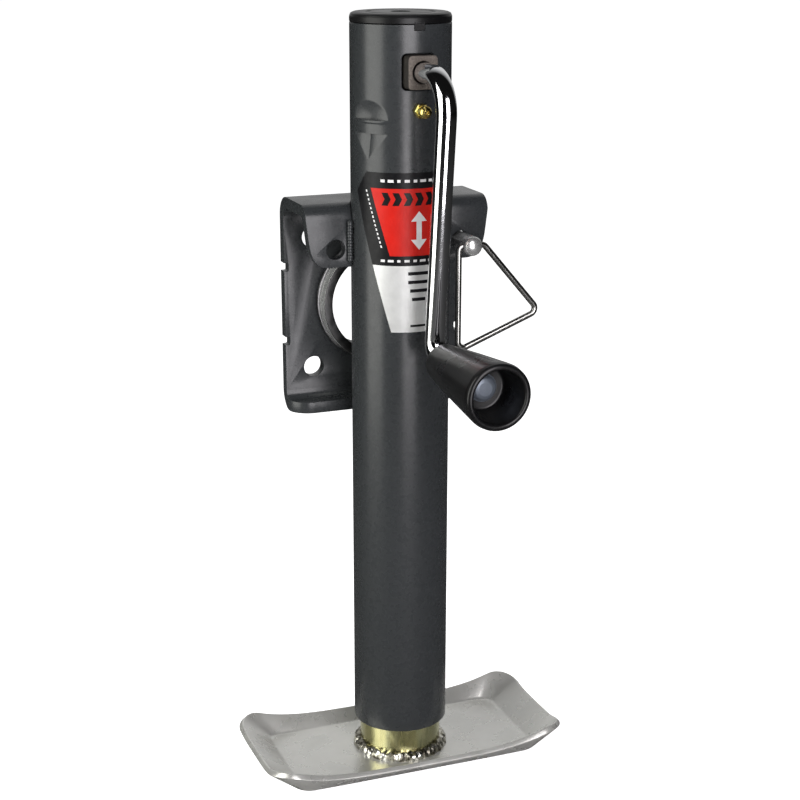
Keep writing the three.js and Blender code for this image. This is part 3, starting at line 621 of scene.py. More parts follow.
def outer_tube():
    columns = 300
    azimuths = [2 * math.pi * i / columns for i in range(columns)]
    edge = 0.35 * MM
    inner = TUBE_R - TUBE_WALL
    rings = [[on_tube(a, TUBE_BOTTOM, TUBE_R - edge) for a in azimuths]]
    rings.append([on_tube(a, TUBE_BOTTOM + 0.1 * MM, TUBE_R - 0.1 * MM) for a in azimuths])
    rings.append([on_tube(a, TUBE_BOTTOM + edge, TUBE_R) for a in azimuths])
    rows = tube_rows()
    for z in rows:
        rings.append([on_tube(a, z, TUBE_R - crimp_depth(a, z)) for a in azimuths])
    for drop, back in ((0.3, 0), (0.08, 0.08), (0, 0.3)):
        rings.append([on_tube(a, TUBE_TOP - drop * MM, TUBE_R - back * MM) for a in azimuths])
    rings.append([on_tube(a, TUBE_TOP, inner) for a in azimuths])
    for z in reversed(rows):
        rings.append([on_tube(a, z, inner - max(0.0, crimp_depth(a, z))) for a in azimuths])
    rings.append([on_tube(a, TUBE_BOTTOM, inner) for a in azimuths])
    tube = mesh_object("tube_shell", loft(rings, closed=True))
    oil_hole = hole(0, -TUBE_R - 1.5 * MM, -TUBE_R + 6.5 * MM, fitting_z() + 0.013 * MM, 3.03 * MM, 29)
    notch_low = (-2.9 * MM, -TUBE_R - 3 * MM, TUBE_TOP - 2.8 * MM)
    notch = block(notch_low, (2.9 * MM, -20 * MM, TUBE_TOP + 2 * MM))
    cut(tube, window_cutter(-1), window_cutter(1), oil_hole, notch)
    settle(tube, "jack_body", PAINT, ["outer_tube"], 28)


def fitting_z():
    low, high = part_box("grease_fitting")
    return (low.z + high.z) / 2


def top_cap():
    under = TUBE_TOP + 0.3 * MM
    top = CAP_TOP
    profile = soften([
        (0.05 * MM, top - 0.5 * MM), (5 * MM, top - 0.5 * MM), (5.2 * MM, top), (15.6 * MM, top),
        (15.9 * MM, top - 0.45 * MM), (17.2 * MM, top - 0.45 * MM), (17.5 * MM, top),
        (TUBE_R - 2.1 * MM, top), (TUBE_R - 0.6 * MM, top - 0.6 * MM), (TUBE_R, top - 2 * MM),
        (TUBE_R, under + 0.2 * MM), (TUBE_R - 0.2 * MM, under), (22.2 * MM, under),
        (22.2 * MM, under - 8 * MM), (19.6 * MM, under - 8 * MM), (19.6 * MM, top - 3 * MM),
        (0.05 * MM, top - 3 * MM),
    ], 0.9 * MM, 5, closed=False)
    shapes = [turned(to_axis(profile), 128)]
    for k in range(12):
        rib = block((6.5 * MM, -0.35 * MM, top - 1 * MM), (14.6 * MM, 0.35 * MM, top - 0.02 * MM))
        shapes.append(moved(rib, Matrix.Rotation(math.radians(30 * k), 4, "Z")))
    tab_low = (-2.6 * MM, -TUBE_R + 0.1 * MM, TUBE_TOP - 2.5 * MM)
    shapes.append(block(tab_low, (2.6 * MM, -22 * MM, under + 1 * MM)))
    cap = mesh_object("end_cap", *shapes)
    settle(cap, "jack_body", CAP_PLASTIC, ["top_cap"])


# ---- Crank bushings and grease fitting ----
def bushing(name, node, bore, outward):
    """Square block with a round bore; outward is the side that shows, -1 or 1 along Y."""
    low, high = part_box(node)
    middle_z = (low.z + high.z) / 2
    outer_y, inner_y = (low.y, high.y) if outward < 0 else (high.y, low.y)
    count = 96

    def square(y, back):
        half_x, half_z = high.x - back, (high.z - low.z) / 2 - back
        ring = []
        power = 9      # how square the rounded outline is
        for c, s in compass(count):
            reach = (abs(c / half_x) ** power + abs(s / half_z) ** power) ** (-1 / power)
            ring.append(Vector((reach * c, y, middle_z + reach * s)))
        return ring

    def circle(y, radius):
        return [Vector((radius * c, y, CRANK_Z + radius * s)) for c, s in compass(count)]

    inward = -outward
    chamfer = 0.5 * MM
    rings = [
        square(outer_y, chamfer), square(outer_y + inward * 0.15 * MM, 0.15 * MM),
        square(outer_y + inward * chamfer, 0), square(inner_y, 0),
        circle(inner_y, bore), circle(outer_y + inward * 0.6 * MM, bore),
        circle(outer_y + inward * 0.15 * MM, bore + 0.2 * MM), circle(outer_y, bore + 0.6 * MM),
    ]
    piece = mesh_object(name, loft(rings, closed=True))
    settle(piece, "jack_body", SINTERED, [node])
    # Painted shade: the block's sides and its bore get the much darker copy of the iron.
    repaint(piece, SINTERED_PAINTED_SHADE, lambda face: abs(face.normal.y) < 0.5)


def grease_fitting():
    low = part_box("grease_fitting")[0]
    z = fitting_z()
    across = 3.4 * MM

    def hexagon(y, grow):
        ring = []
        for i in range(48):
            angle = 2 * math.pi * i / 48
            folded = (angle % (math.pi / 3)) - math.pi / 6
            reach = min((across + grow) / math.cos(folded), 3.85 * MM + grow)
            ring.append(Vector((reach * math.cos(angle), y, z + reach * math.sin(angle))))
        return ring

    hexagon_part = loft([
        hexagon(low.y + 9.6 * MM, 0), hexagon(low.y + 6.7 * MM, 0), hexagon(low.y + 6.2 * MM, -0.45 * MM),
    ])
    profile = [
        (0, 1.3), (0.8, 1.3), (0.9, 0.2), (1.2, 0.05), (1.9, 0.35), (2.6, 0.95), (2.95, 1.6), (2.85, 2.1),
        (2.35, 2.7), (2.25, 3.6), (2.5, 4.8), (2.7, 6.0), (2.6, 9.4), (2.6, 13.9), (0, 13.9),
    ]
    fitting = mesh_object("grease_nipple", hexagon_part, lathe(profile, 40, along_y((0, low.y, z))))
    settle(fitting, "jack_body", BRASS, ["grease_fitting"])


# ---- Crank, retainer and grip ----
def crank_rod():
    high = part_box("crank_rod")[1]
    arm_top, arm_bottom, end = -61 * MM, -45.5 * MM, -107 * MM
    thin, groove = 4 * MM, 3.3 * MM
    groove_back, groove_front, shoulder = 29.2 * MM, 27.8 * MM, -20 * MM
    back = Vector((0, -1, 0))
    stations, radii = [], []
    for y, radius in (
        (high.y, thin - 0.6 * MM), (high.y - 0.6 * MM, thin), (groove_back, thin), (groove_back, groove),
        (groove_front, groove), (groove_front, thin), (0, thin), (shoulder + 0.05 * MM, thin),
        (shoulder, CRANK_R - 0.25 * MM), (shoulder - 0.25 * MM, CRANK_R), (-36 * MM, CRANK_R),
    ):
        stations.append((Vector((0, y, CRANK_Z)), back))
        radii.append(radius)
    bend_steps = 18
    line = bent_line(
        [(0, shoulder, CRANK_Z), (0, arm_top, CRANK_Z), (0, arm_bottom, GRIP_Z), (0, end, GRIP_Z)],
        [0, 17 * MM, 9 * MM, 0], bend_steps,
    )[1:-1]
    run_start, run_end = line[bend_steps], line[bend_steps + 1]
    for k, station in enumerate(line):
        stations.append(station)
        radii.append(CRANK_R)
        if k == bend_steps:
            for share in (0.25, 0.5, 0.75):
                stations.append((run_start[0].lerp(run_end[0], share), run_start[1]))
                radii.append(CRANK_R)
    for y, radius in ((-80 * MM, CRANK_R), (end + 0.5 * MM, CRANK_R), (end, CRANK_R - 0.5 * MM)):
        stations.append((Vector((0, y, GRIP_Z)), back))
        radii.append(radius)
    rod = mesh_object("crank_handle_rod", wire(stations, radii, X_AXIS, 56))
    settle(rod, "crank", CHROME, ["crank_rod"])


def grip():
    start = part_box("handle_grip")[1].y
    outer = [
        (5.35, 0), (8.3, 0), (9.7, 1.6), (10.2, 7), (11.3, 16), (12.9, 30), (14, 41), (15.1, 52),
        (16, 61), (16.3, 64.5), (16, 67), (14.9, 68), (13.6, 68), (12.9, 67), (12.2, 60), (11.6, 53),
        (11, 47.5), (5.35, 47.5),
    ]
    profile = soften([(r * MM, h * MM) for r, h in outer], 1.4 * MM, 4)
    sides = 160
    rings = []
    for r, h in profile:
        ring = []
        for i in range(sides):
            angle = 2 * math.pi * i / sides
            radius = r
            if h < 60 * MM and r > 8 * MM and not (h > 46 * MM and r < 13.7 * MM):
                for seam in (math.pi / 2, 3 * math.pi / 2):
                    off = wrap(angle - seam) * r / (0.5 * MM)
                    radius += 0.28 * MM * math.exp(-off * off)
            ring.append(Vector((radius * math.cos(angle), start - h, GRIP_Z + radius * math.sin(angle))))
        rings.append(ring)
    piece = mesh_object("grip_shell", loft(rings, closed=True))
    settle(piece, "grip", GRIP_PLASTIC, ["handle_grip"], 50)


def retainer():
    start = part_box("grip_retainer")[1].y
    profile = soften([
        (0.02, 3.9), (3.4, 3.85), (5, 3.3), (6, 2.4), (6.2, 1.1), (6.9, 0.9), (6.9, 0), (5.4, 0),
        (5.4, 2.3), (0.02, 2.3),
    ], 0.4, 4, closed=False)
    turn = Matrix.Translation((0, start, GRIP_Z)) @ Matrix.Rotation(math.pi / 2, 4, "X")
    piece = mesh_object("grip_push_nut", lathe(to_axis(profile), 64, turn))
    settle(piece, "crank", DULL_ZINC, ["grip_retainer"])


def crank_clip():
    """Open clip in the groove at the rod's rear end, with three inner lugs."""
    low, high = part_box("crank_clip")
    outer = 7.2 * MM
    count = 72
    gap = math.radians(40)

    def section(angle):
        lug = min(abs(wrap(angle - math.radians(a))) for a in (90, 215, 325))
        inner = 3.6 * MM if lug < math.radians(16) else 4.8 * MM
        c, s = math.cos(angle), math.sin(angle)
        corners = ((inner, low.y), (outer, low.y), (outer, high.y), (inner, high.y))
        return [Vector((r * c, y, CRANK_Z + r * s)) for r, y in corners]

    start, end = -math.pi / 2 + gap / 2, 3 * math.pi / 2 - gap / 2
    rings = [section(start + (end - start) * i / count) for i in range(count + 1)]
    piece = mesh_object("rear_e_clip", loft(rings))
    round_edges(piece, 0.12 * MM, 2)
    settle(piece, "crank", STEEL, ["crank_clip"])


# ---- Swivel bracket ----
def bracket_section():
    """Outline of the bent sheet in Y and Z: lower lip, back plate, top, and the tabs by the tube."""
    low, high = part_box("swivel_bracket")
    sheet, bend = 6 * MM, 11 * MM
    lip_y, tab_y, tab_low = 28 * MM, low.y, 276 * MM
    outer, inner = [], []

    def arc(centre_y, centre_z, radius, start, end, into, steps=10):
        for k in range(steps + 1):
            angle = math.radians(start + (end - start) * k / steps)
            into.append((centre_y + radius * math.cos(angle), centre_z + radius * math.sin(angle)))

    front_bend = bend - 3 * MM
    outer.append((lip_y, low.z))
    arc(high.y - bend, low.z + bend, bend, -90, 0, outer)
    arc(high.y - bend, high.z - bend, bend, 0, 90, outer)
    arc(tab_y + front_bend, high.z - front_bend, front_bend, 90, 180, outer)
    outer.append((tab_y, tab_low))
    inner.append((tab_y + sheet, tab_low))
    arc(tab_y + front_bend, high.z - front_bend, front_bend - sheet, 180, 90, inner, 6)
    arc(high.y - bend, high.z - bend, bend - sheet, 90, 0, inner, 8)
    arc(high.y - bend, low.z + bend, bend - sheet, 0, -90, inner, 8)
    inner.append((lip_y, low.z + sheet))
    return outer + inner


def hole(x, y_low, y_high, z, radius, sides=56):
    shape = turned([(0, 0), (radius, 0), (radius, y_high - y_low), (0, y_high - y_low)], sides)
    return moved(shape, along_y((x, y_low, z)))


def prism(outline, y_low, y_high):
    """An outline of (x, z) points pushed along Y."""
    return loft([[(x, y_low, z) for x, z in outline], [(x, y_high, z) for x, z in outline]])


def bracket():
    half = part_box("swivel_bracket")[1].x
    section = bracket_section()
    body = mesh_object(
        "bracket_plate", loft([[(-half, y, z) for y, z in section], [(half, y, z) for y, z in section]]))
    clear = TUBE_R + 0.35 * MM
    lip_x, lip_y, lip_r = 38, 40, 12      # mm: centre and radius of the lower lip's round corner
    lip_bottom, lip_top = 0.182, 0.203
    tab_hole, plate_hole = 5.2 * MM, 5.6 * MM
    tools = [
        turned([(0, 0.15), (clear, 0.15), (clear, 0.35), (0, 0.35)], 160),
        block((-clear, -0.02, 0.24), (clear, 0, 0.34)),
        hole(0, 20 * MM, 60 * MM, PIVOT.z, PIPE_R + 0.35 * MM, 128),
    ]
    for side in (-1, 1):
        # The tab's outer lower corner is a curve from (38.2, 276) to (48.5, 289).
        curve = [(38.2, 276)]
        for k in range(1, 13):
            t = k / 12
            curve.append((
                38.2 * (1 - t) ** 2 + 2 * 46.8 * t * (1 - t) + 48.5 * t * t,
                276 * (1 - t) ** 2 + 2 * 276.4 * t * (1 - t) + 289 * t * t,
            ))
        tab_corner = [(70, 270), (38.2, 270)] + curve + [(50, 301), (70, 301)]
        tools.append(prism([(side * x * MM, z * MM) for x, z in tab_corner], -5 * MM, 15 * MM))
        lip = [(lip_x, 27)]
        for degrees in range(0, 91, 6):
            turn = math.radians(degrees)
            lip.append((lip_x + lip_r * math.sin(turn), lip_y - lip_r * math.cos(turn)))
        lip += [(60, lip_y), (60, 27)]
        tools.append(loft([[(side * x * MM, y * MM, z) for x, y in lip] for z in (lip_bottom, lip_top)]))
        tools.append(hole(side * EYE.x, -5 * MM, 15 * MM, EYE.z, tab_hole))
        for z in (EYE.z, 2 * PIVOT.z - EYE.z):
            tools.append(hole(side * EYE.x, 35 * MM, 50 * MM, z, plate_hole))
        for z in (PIVOT.z - 20 * MM, PIVOT.z + 20 * MM):
            edge = side * half
            reach, half_tall = 2.5 * MM, 2.25 * MM
            notch = soften([
                (edge - reach, z - half_tall), (edge + reach, z - half_tall),
                (edge + reach, z + half_tall), (edge - reach, z + half_tall),
            ], 0.8 * MM, 3)
            tools.append(prism(notch, 30 * MM, 60 * MM))
    cut(body, *tools)
    round_edges(body, 0.55 * MM, 3, 32)
    settle(body, "jack_body", PAINT, ["swivel_bracket"], 30)


def bead(name, node, start, end, radius):
    """Painted weld bead from start to end: ripples and lumps on a round run with rounded ends."""
    start, end = Vector(start), Vector(end)
    along = (end - start).normalized()
    side = along.orthogonal().normalized()
    up = along.cross(side)
    length = (end - start).length
    steps = int(length / (0.28 * MM))
    rings = []
    for k in range(steps + 1):
        at = k / steps
        s = at * length
        from_end = 2 * min(s, length - s) / (2 * radius)
        body_radius = radius * math.sqrt(max(0.02, 1 - max(0, 1 - from_end) ** 2))
        ripple = 0.09 * radius * math.cos(2 * math.pi * s / (1.5 * MM))
        place = start + along * s
        ring = []
        for cosine, sine in compass(20):
            direction = side * cosine + up * sine
            lump = 0.12 * radius * noise.noise((place + direction * radius) * 620)
            ring.append(place + direction * (body_radius + ripple + lump - 0.12 * radius))
        rings.append(ring)
    piece = mesh_object(name, loft(rings))
    settle(piece, "jack_body", PAINT, [node], 60)


def bracket_welds():
    for word in ("left", "right"):
        low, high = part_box("bracket_weld_" + word)
        x, y = (low.x + high.x) / 2, (low.y + high.y) / 2
        radius = (high.x - low.x) / 2
        bead("tab_weld_" + word, "bracket_weld_" + word, (x, y, low.z), (x, y, high.z), radius)
    low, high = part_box("bracket_weld_lower")
    y, z = (low.y + high.y) / 2, (low.z + high.z) / 2
    bead("lip_weld", "bracket_weld_lower", (low.x, y, z), (high.x, y, z), (high.z - low.z) / 2)


# ---- Pivot pipe, snap ring and washer ----
def pivot_parts():
    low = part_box("mount_pipe")[0]
    front, groove_front, groove_back, back = (at * MM - low.y for at in (29, 36.4, 39, 50))
    bore, groove = 27 * MM, 30.3 * MM
    profile = soften([
        (bore, front), (PIPE_R, front), (PIPE_R, groove_front), (groove, groove_front),
        (groove, groove_back), (PIPE_R, groove_back), (PIPE_R, back), (bore, back),
    ], 0.4 * MM, 3)
    pipe = mesh_object("pivot_pipe", moved(turned(profile, 160), along_y((0, low.y, PIVOT.z))))
    settle(pipe, "trailer_mount", BRIGHT_ZINC, ["mount_pipe"], 40)

    # Painted shade: the zinc pipe's front face, which mirrors the dark tube, and its bore are given a
    # dark steel look.
    def in_shade(face):
        from_axis = math.hypot(face.center.x, face.center.z - PIVOT.z)
        return face.normal.y < -0.6 or from_axis < bore + 0.1 * MM

    repaint(pipe, PIPE_PAINTED_SHADE, in_shade)

    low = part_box("snap_ring")[0]
    gap = math.radians(13)
    count = 150

    corners = soften([(30.6, 0), (32.8, 0), (32.8, 2), (30.6, 2)], 0.3, 2)

    def section(angle):
        c, s = math.cos(angle), math.sin(angle)
        return [Vector((r * MM * c, low.y + y * MM, PIVOT.z + r * MM * s)) for r, y in corners]

    start = -math.pi / 2 + gap / 2
    sweep = 2 * math.pi - gap
    rings = [section(start + sweep * i / count) for i in range(count + 1)]
    clip = mesh_object("retaining_ring", loft(rings))
    settle(clip, "trailer_mount", STEEL, ["snap_ring"])

    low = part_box("stop_washer")[0]
    profile = soften([(32.1, 0), (37, 0), (37, 3), (32.1, 3)], 0.5, 4)
    washer = mesh_object("thrust_collar", lathe(profile, 128, along_y((0, low.y, PIVOT.z))))
    settle(washer, "trailer_mount", BRIGHT_ZINC, ["stop_washer"])


# ---- Lock pin, its ball and the pull ring ----
def lock_pin():
    low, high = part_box("lock_pin")
    head = (high.x - low.x) / 2
    radius = head - 0.35 * MM
    length = high.y - low.y
    turns = [math.pi / 2 * k / 12 for k in range(13)]
    profile = [(head * math.sin(turn), 3.4 * MM * (1 - math.cos(turn))) for turn in turns]
    profile += [(head, 8.2 * MM), (radius, 9 * MM), (radius, length - 2.6 * MM)]
    profile += [(radius - 0.25 * MM, length - 2.1 * MM), (radius - 1.5 * MM, length - 0.15 * MM)]
    profile += [(radius - 1.8 * MM, length), (0, length)]
    pin = mesh_object("lock_pin_rod", moved(turned(profile, 64), along_y((EYE.x, low.y, EYE.z))))
    turn = Matrix.Translation((EYE.x - 10 * MM, EYE.y, EYE.z)) @ Matrix.Rotation(math.pi / 2, 4, "Y")
    eye = lathe([(0, 0), (2.15, 0), (2.15, 20), (0, 20)], 40, turn)
    ball_low, ball_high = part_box("detent_ball")
    ball = (ball_low + ball_high) / 2
    pocket = [(0, -2.2), (1.6, -2.2), (1.95, -1.2), (1.95, 3), (0, 3)]
    cut(pin, eye, lathe(pocket, 32, Matrix.Translation(ball)))
    round_edges(pin, 0.25 * MM, 2, 40)
    settle(pin, "lock", BRIGHT_ZINC, ["lock_pin"])

    size = (ball_high.x - ball_low.x) / 2
    steps = 16
    turns = [math.pi * k / steps for k in range(steps + 1)]
    profile = [(size * math.sin(turn), -size * math.cos(turn)) for turn in turns]
    seat = [(1.72, -1.0), (1.9, -1.0), (1.9, 0.55), (1.72, 0.4)]
    round_part = moved(turned(profile, 32), Matrix.Translation(ball))
    piece = mesh_object("detent_ball_and_seat", round_part, lathe(seat, 32, Matrix.Translation(ball)))
    settle(piece, "lock", STEEL, ["detent_ball"])


def pull_ring():
    """Bent wire: through the pin's eye, out to the side, down, and back under the tab."""
    low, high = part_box("pull_ring")
    radius = (high.y - low.y) / 2
    corners = [
        (27.5 * MM, EYE.y, EYE.z), (41.6 * MM, EYE.y, EYE.z),
        (73.7 * MM, EYE.y, 248 * MM), (27.5 * MM, EYE.y, 230 * MM),
    ]
    line = bent_line(corners, [2.6 * MM, 3 * MM, 3.4 * MM, 3.4 * MM], 12, closed=True)
    ring = mesh_object("pull_ring_wire", wire(line, [radius] * len(line), Y_AXIS, 28, closed=True))
    settle(ring, "ring", WIRE_ZINC, ["pull_ring"], 60)


# ---- Ram and foot ----
def inner_tube():
    inner = RAM_R - 3.0 * MM
    profile = soften([
        (inner, RAM_BOTTOM), (RAM_R, RAM_BOTTOM), (RAM_R, RAM_TOP), (inner, RAM_TOP),
    ], 0.5 * MM, 4)
    tube = mesh_object("ram_tube", turned(profile, 160))
    settle(tube, "ram", YELLOW_ZINC, ["inner_tube"], 40)


def foot_outline(half_x, half_y, radius, height_at):
    """A closed loop round the foot; height_at takes shares of the loop's half length and half width."""
    loop = rounded_square(half_x, half_y, radius, 0, 14, (34, 16))
    return [Vector((x, y, height_at(x / half_x, y / half_y))) for x, y in loop]


def foot_plate():
    rim_x, rim_y = FOOT_HIGH.x, FOOT_HIGH.y
    floor_x, floor_y = 68 * MM, 30.7 * MM
    plate = 3 * MM

    def rim(share_x, share_y):
        endness, sideness = share_x ** 4, share_y ** 4
        return (12.5 * endness + 9 * sideness - 0.6 * endness * sideness) * MM

    flat = lambda z: (lambda x, y: z)
    loops = [
        foot_outline(floor_x - 12 * MM, floor_y - 9 * MM, 4 * MM, flat(plate)),
        foot_outline(floor_x, floor_y, 7 * MM, flat(plate)),
        foot_outline(rim_x - 2.2 * MM, rim_y - 2.4 * MM, 13 * MM, rim),
        foot_outline(rim_x, rim_y, 15 * MM, lambda x, y: rim(x, y) - 2.1 * MM),
        foot_outline(floor_x + 2.4 * MM, floor_y + 2.4 * MM, 9 * MM, flat(0)),
        foot_outline(floor_x - 12 * MM, floor_y - 9 * MM, 4 * MM, flat(0)),
    ]
    count = len(loops[0])
    sections = []
    for i in range(count):
        corners = [loop[i] for loop in loops]
        section = [corners[0]]
        for k, radius in ((1, 4.5), (2, 0.8), (3, 0.8), (4, 5)):
            steps = 8 if radius > 1 else 4
            section += soften(corners[k - 1:k + 2], radius * MM, steps, closed=False)[1:-1]
        section.append(corners[5])
        sections.append(section)
    rings = [[section[k] for section in sections] for k in range(len(sections[0]))]
    foot = mesh_object("foot_pan", loft(rings))
    settle(foot, "ram", FOOT_ZINC, ["foot_plate"], 60)


def foot_weld():
    """Weld bead round the inner tube on the foot: uneven toe, ripples and lumps."""
    low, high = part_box("foot_weld")
    inner, outer = RAM_R - 0.1 * MM, high.x
    base, rise = low.z - 0.3 * MM, high.z - low.z
    count = 260
    rings = []
    for i in range(count):
        angle = 2 * math.pi * i / count
        around = Vector((math.cos(angle), math.sin(angle), 0))
        ripple = math.cos(46 * angle + 1.6 * math.sin(5 * angle))
        ring = []
        for k in range(15):
            turn = math.pi / 2 * k / 14
            coarse = noise.noise(around * 9 + Vector((0, 0, 2.2 * k / 14)))
            fine = noise.noise(around * 31 + Vector((0, 0, k / 3)))
            lump = coarse + 0.5 * fine
            swell = 0.80 + 0.13 * lump + 0.05 * ripple * math.sin(2 * turn)
            width = (outer - inner) * min(1.0, swell)
            height = (rise + 0.3 * MM) * min(1.0, swell)
            out, up = inner + width * math.cos(turn), base + height * math.sin(turn)
            ring.append(around * out + Z_AXIS * up)
        ring.append(around * (inner - 0.4 * MM) + Z_AXIS * (base + 2 * MM))
        ring.append(around * (inner - 0.4 * MM) + Z_AXIS * base)
        rings.append(ring)
    weld = mesh_object("foot_weld_bead", loft(rings, closed=True))
    settle(weld, "ram", WELD, ["foot_weld"], 60)


# ---- Label ----
def decal(outline, lift):
    """A flat outline of (distance round the tube, height) in mm, laid on the tube at this lift."""
    strip = 0.7      # width of the strips that bend round the tube
    made = bmesh.new()
    made.faces.new([made.verts.new((x, 0, z)) for x, z in outline])
    at = min(x for x, _ in outline) + strip
    high = max(x for x, _ in outline)
    while at < high:
        everything = made.verts[:] + made.edges[:] + made.faces[:]
        bmesh.ops.bisect_plane(made, geom=everything, plane_co=(at, 0, 0), plane_no=(1, 0, 0))
        at += strip
    made.verts.index_update()
    radius = TUBE_R + lift * MM
    points = [on_tube(v.co.x * MM / TUBE_R, v.co.z * MM, radius) for v in made.verts]
    faces = [tuple(v.index for v in face.verts) for face in made.faces]
    made.free()
    return points, faces


def label():
    """Film on the tube, printed with plain fields, dashes and a lifting arrow in place of any words."""
    narrow, wide, bottom, shoulder, top = 14.2, 34.9, 245.7, 316.4, 326.4
    silver_top, strip_top, red_top = 280, 285, 318.6
    red_narrow, red_wide, red_wide_at = 14.8, 25.3, 319
    outer = lambda z: narrow + (wide - narrow) * (z - bottom) / (shoulder - bottom)
    inner = lambda z: red_narrow + (red_wide - red_narrow) * (z - strip_top) / (red_wide_at - strip_top)
    BLACK, RED, SILVER, WHITE = range(4)
    printed = []

    def put(colour, outline, lift=0.16):
        printed.append((colour, decal(outline, lift)))

    def field(colour, low, high, half):
        put(colour, [(-half(low), low), (half(low), low), (half(high), high), (-half(high), high)], 0.13)

    def bar(colour, x_low, x_high, z_low, z_high):
        put(colour, [(x_low, z_low), (x_high, z_low), (x_high, z_high), (x_low, z_high)])

    put(BLACK, [
        (-narrow, bottom), (narrow, bottom), (wide, shoulder),
        (27.8, top), (-27.8, top), (-wide, shoulder),
    ], 0.10)
    field(SILVER, 245.9, silver_top, lambda z: outer(z) - 0.1)
    field(RED, strip_top, red_top, inner)
    # Dashes in the place of small print.
    for k, half in enumerate((1.1, 1.5, 0.8, 1.3, 0.9, 1.6, 1.0, 1.4, 0.8, 1.2)):
        x = 4.1 * (k - 4.5)
        bar(WHITE, x - half, x + half, 281.9, 283.1)
        bar(WHITE, x - half, x + half, 321.7, 323.1)
    for side in (-1, 1):
        for k in range(14):
            z = 289 + 2.1 * k
            middle = side * (inner(z) + 3.1)
            lean = side * 0.3
            put(WHITE, [
                (middle - 0.4, z), (middle + 0.4, z),
                (middle + 0.4 + lean, z + 1.1), (middle - 0.4 + lean, z + 1.1),
            ])
    for row, reach in enumerate((5.6, 5.6, 4.6, 3.6)):
        bar(BLACK, -reach, reach, 275.2 - 4.4 * row, 276.9 - 4.4 * row)
    bar(BLACK, -4.4, 4.4, 248.6, 249.8)
    # A dark chevron band across the top of the red field, and a double arrow for lift under it.
    for k in range(-3, 4):
        middle = 5.6 * k
        put(BLACK, [
            (middle - 2.3, 310.2), (middle + 0.9, 310.2), (middle + 2.5, 313.4),
            (middle + 0.9, 316.6), (middle - 2.3, 316.6), (middle - 0.7, 313.4),
        ])
    bar(WHITE, -1.4, 1.4, 293, 302.5)
    put(WHITE, [(-4.2, 302.3), (4.2, 302.3), (0, 307.4)])
    put(WHITE, [(-4.2, 293.2), (0, 288.1), (4.2, 293.2)])

    film = new_object("label_film", *joined([shape for _, shape in printed]))
    data = film.data
    for look in (LABEL_BLACK, LABEL_RED, LABEL_SILVER, LABEL_WHITE):
        data.materials.append(look)
    data.polygons.foreach_set("material_index", [colour for colour, (_, faces) in printed for _ in faces])
    made = bmesh.new()
    made.from_mesh(data)
    for face in made.faces:
        middle = face.calc_center_median()
        if face.normal.x * middle.x + face.normal.y * middle.y < 0:
            face.normal_flip()
        face.smooth = True
    made.to_mesh(data)
    made.free()
    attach(film, "jack_body")
    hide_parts("label_skin")


# ---- Build ----
outer_tube()
top_cap()
bushing("bushing_front", "crank_bushing_front", CRANK_R + 0.35 * MM, -1)
bushing("bushing_rear", "crank_bushing_rear", 4.35 * MM, 1)
grease_fitting()
crank_rod()
grip()
retainer()
crank_clip()
bracket()
bracket_welds()
pivot_parts()
lock_pin()
pull_ring()
inner_tube()
foot_plate()
foot_weld()
label()

STEEL_INSIDE = (
    "bearing_seat", "thrust_washer_upper", "thrust_washer_lower", "lift_nut", "lead_screw",
    "screw_gear", "gear_pin", "crank_pinion", "pinion_pin",
)
for node in (*STEEL_INSIDE, "ball_cage"):
    for slot in frame["nodes"][node].material_slots:
        slot.material = STEEL if node in STEEL_INSIDE else BRASS


# ---- Studio ----
def ray_is(tree, kind):
    return tree.nodes.new("ShaderNodeLightPath").outputs[kind]


def floor():
    """White floor to the camera, pale to matt surfaces, and dark to glossy ones."""
    reach = 30
    corners = [(-reach, -reach, 0), (reach, -reach, 0), (reach, reach, 0), (-reach, reach, 0)]
    plane = new_object("floor", corners, [(0, 1, 2, 3)])
    plane.location.z = -0.2 * MM
    look, tree, shader, place = new_look("studio_floor", 0, 0.1)
    colours(tree, noise_on(tree, place, 3, 2), shader, [(0.3, (0.80,) * 3), (0.7, (0.82,) * 3)])
    shader.inputs["Roughness"].default_value = 0.95
    shader.inputs["Emission Color"].default_value = (1, 1, 1, 1)
    tree.links.new(ray_is(tree, "Is Camera Ray"), shader.inputs["Emission Strength"])
    dark = add(tree, "BsdfDiffuse", {"Color": (FLOOR_IN_GLOSS,) * 3 + (1,)})
    mix = add(tree, "MixShader", {
        "Fac": ray_is(tree, "Is Glossy Ray"), 1: shader.outputs["BSDF"], 2: dark.outputs["BSDF"],
    })
    tree.links.new(mix.outputs["Shader"], tree.nodes["Material Output"].inputs["Surface"])
    plane.data.materials.append(look)


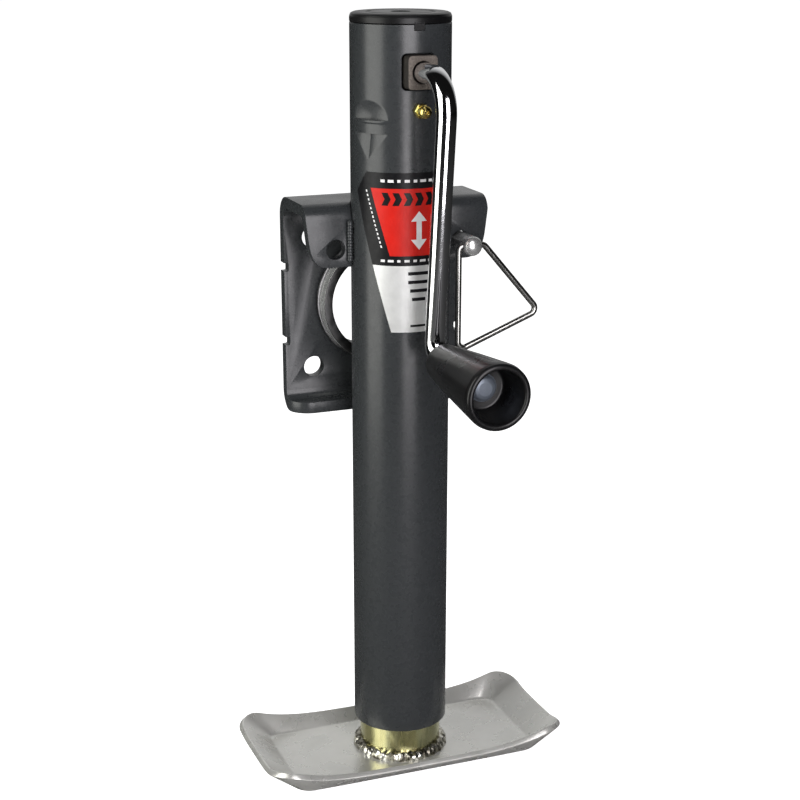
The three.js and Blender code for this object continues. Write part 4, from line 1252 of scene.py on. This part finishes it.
def softbox(name, azimuth, distance, height, width, tall, radiance, colour=(1, 1, 1), in_gloss=True):
    """A rectangular light of this radiance that faces the middle of the jack from this azimuth."""
    data = bpy.data.lights.new(name, "AREA")
    data.shape = "RECTANGLE"
    data.size, data.size_y = width, tall
    data.energy = radiance * math.pi * width * tall
    data.color = colour
    light = bpy.data.objects.new(name, data)
    angle = math.radians(azimuth)
    light.location = (distance * math.sin(angle), -distance * math.cos(angle), height)
    aim = Vector((0, 0, 0.2)) - Vector(light.location)
    light.rotation_euler = aim.to_track_quat("-Z", "Y").to_euler()
    light.visible_camera = False
    light.visible_glossy = in_gloss
    bpy.context.scene.collection.objects.link(light)


def world():
    """White to the camera, dim to matt surfaces, and to glossy ones a dim room with a brighter wall."""
    made = bpy.data.worlds.new("studio")
    bpy.context.scene.world = made
    made.use_nodes = True
    tree = made.node_tree
    background = tree.nodes["Background"]
    background.inputs["Color"].default_value = (1, 1, 1, 1)
    heading, lean = math.radians(WALL_AZIMUTH), math.radians(WALL_ELEVATION)
    wall = (math.sin(heading) * math.cos(lean), -math.cos(heading) * math.cos(lean), math.sin(lean))
    facing = add(tree, "VectorMath", {0: add(tree, "TexCoord", {}).outputs["Generated"], 1: wall})
    facing.operation = "DOT_PRODUCT"
    room = between(tree, facing.outputs["Value"], ROOM_LIGHT, WALL_LIGHT, None, *WALL_EDGE)
    lit = add(tree, "Mix", {"Factor": ray_is(tree, "Is Glossy Ray"), "A": MATT_LIGHT, "B": room})
    seen = add(tree, "Mix", {
        "Factor": ray_is(tree, "Is Camera Ray"), "A": lit.outputs["Result"], "B": 1.0,
    })
    tree.links.new(seen.outputs["Result"], background.inputs["Strength"])


FLOOR_IN_GLOSS = 0.1
MATT_LIGHT = 0.03              # what matt surfaces get from the world
ROOM_LIGHT = 0.006
WALL_LIGHT = 0.65
WALL_AZIMUTH, WALL_ELEVATION = 158, 23
WALL_EDGE = 0.62, 0.92         # cosines of the angle to the wall's middle where it starts and is full

floor()
world()
softbox("left_box", -83, 0.62, 0.36, 0.5, 0.8, 3.2, (1.0, 1.0, 0.95))
softbox("front_box", -1, 0.75, 0.36, 0.4, 0.9, 5.5, (1.0, 0.97, 1.0))
softbox("top_box", 150, 0.4, 1.5, 1.3, 1.3, 1.6, in_gloss=False)
bpy.context.scene.view_settings.view_transform = "Standard"
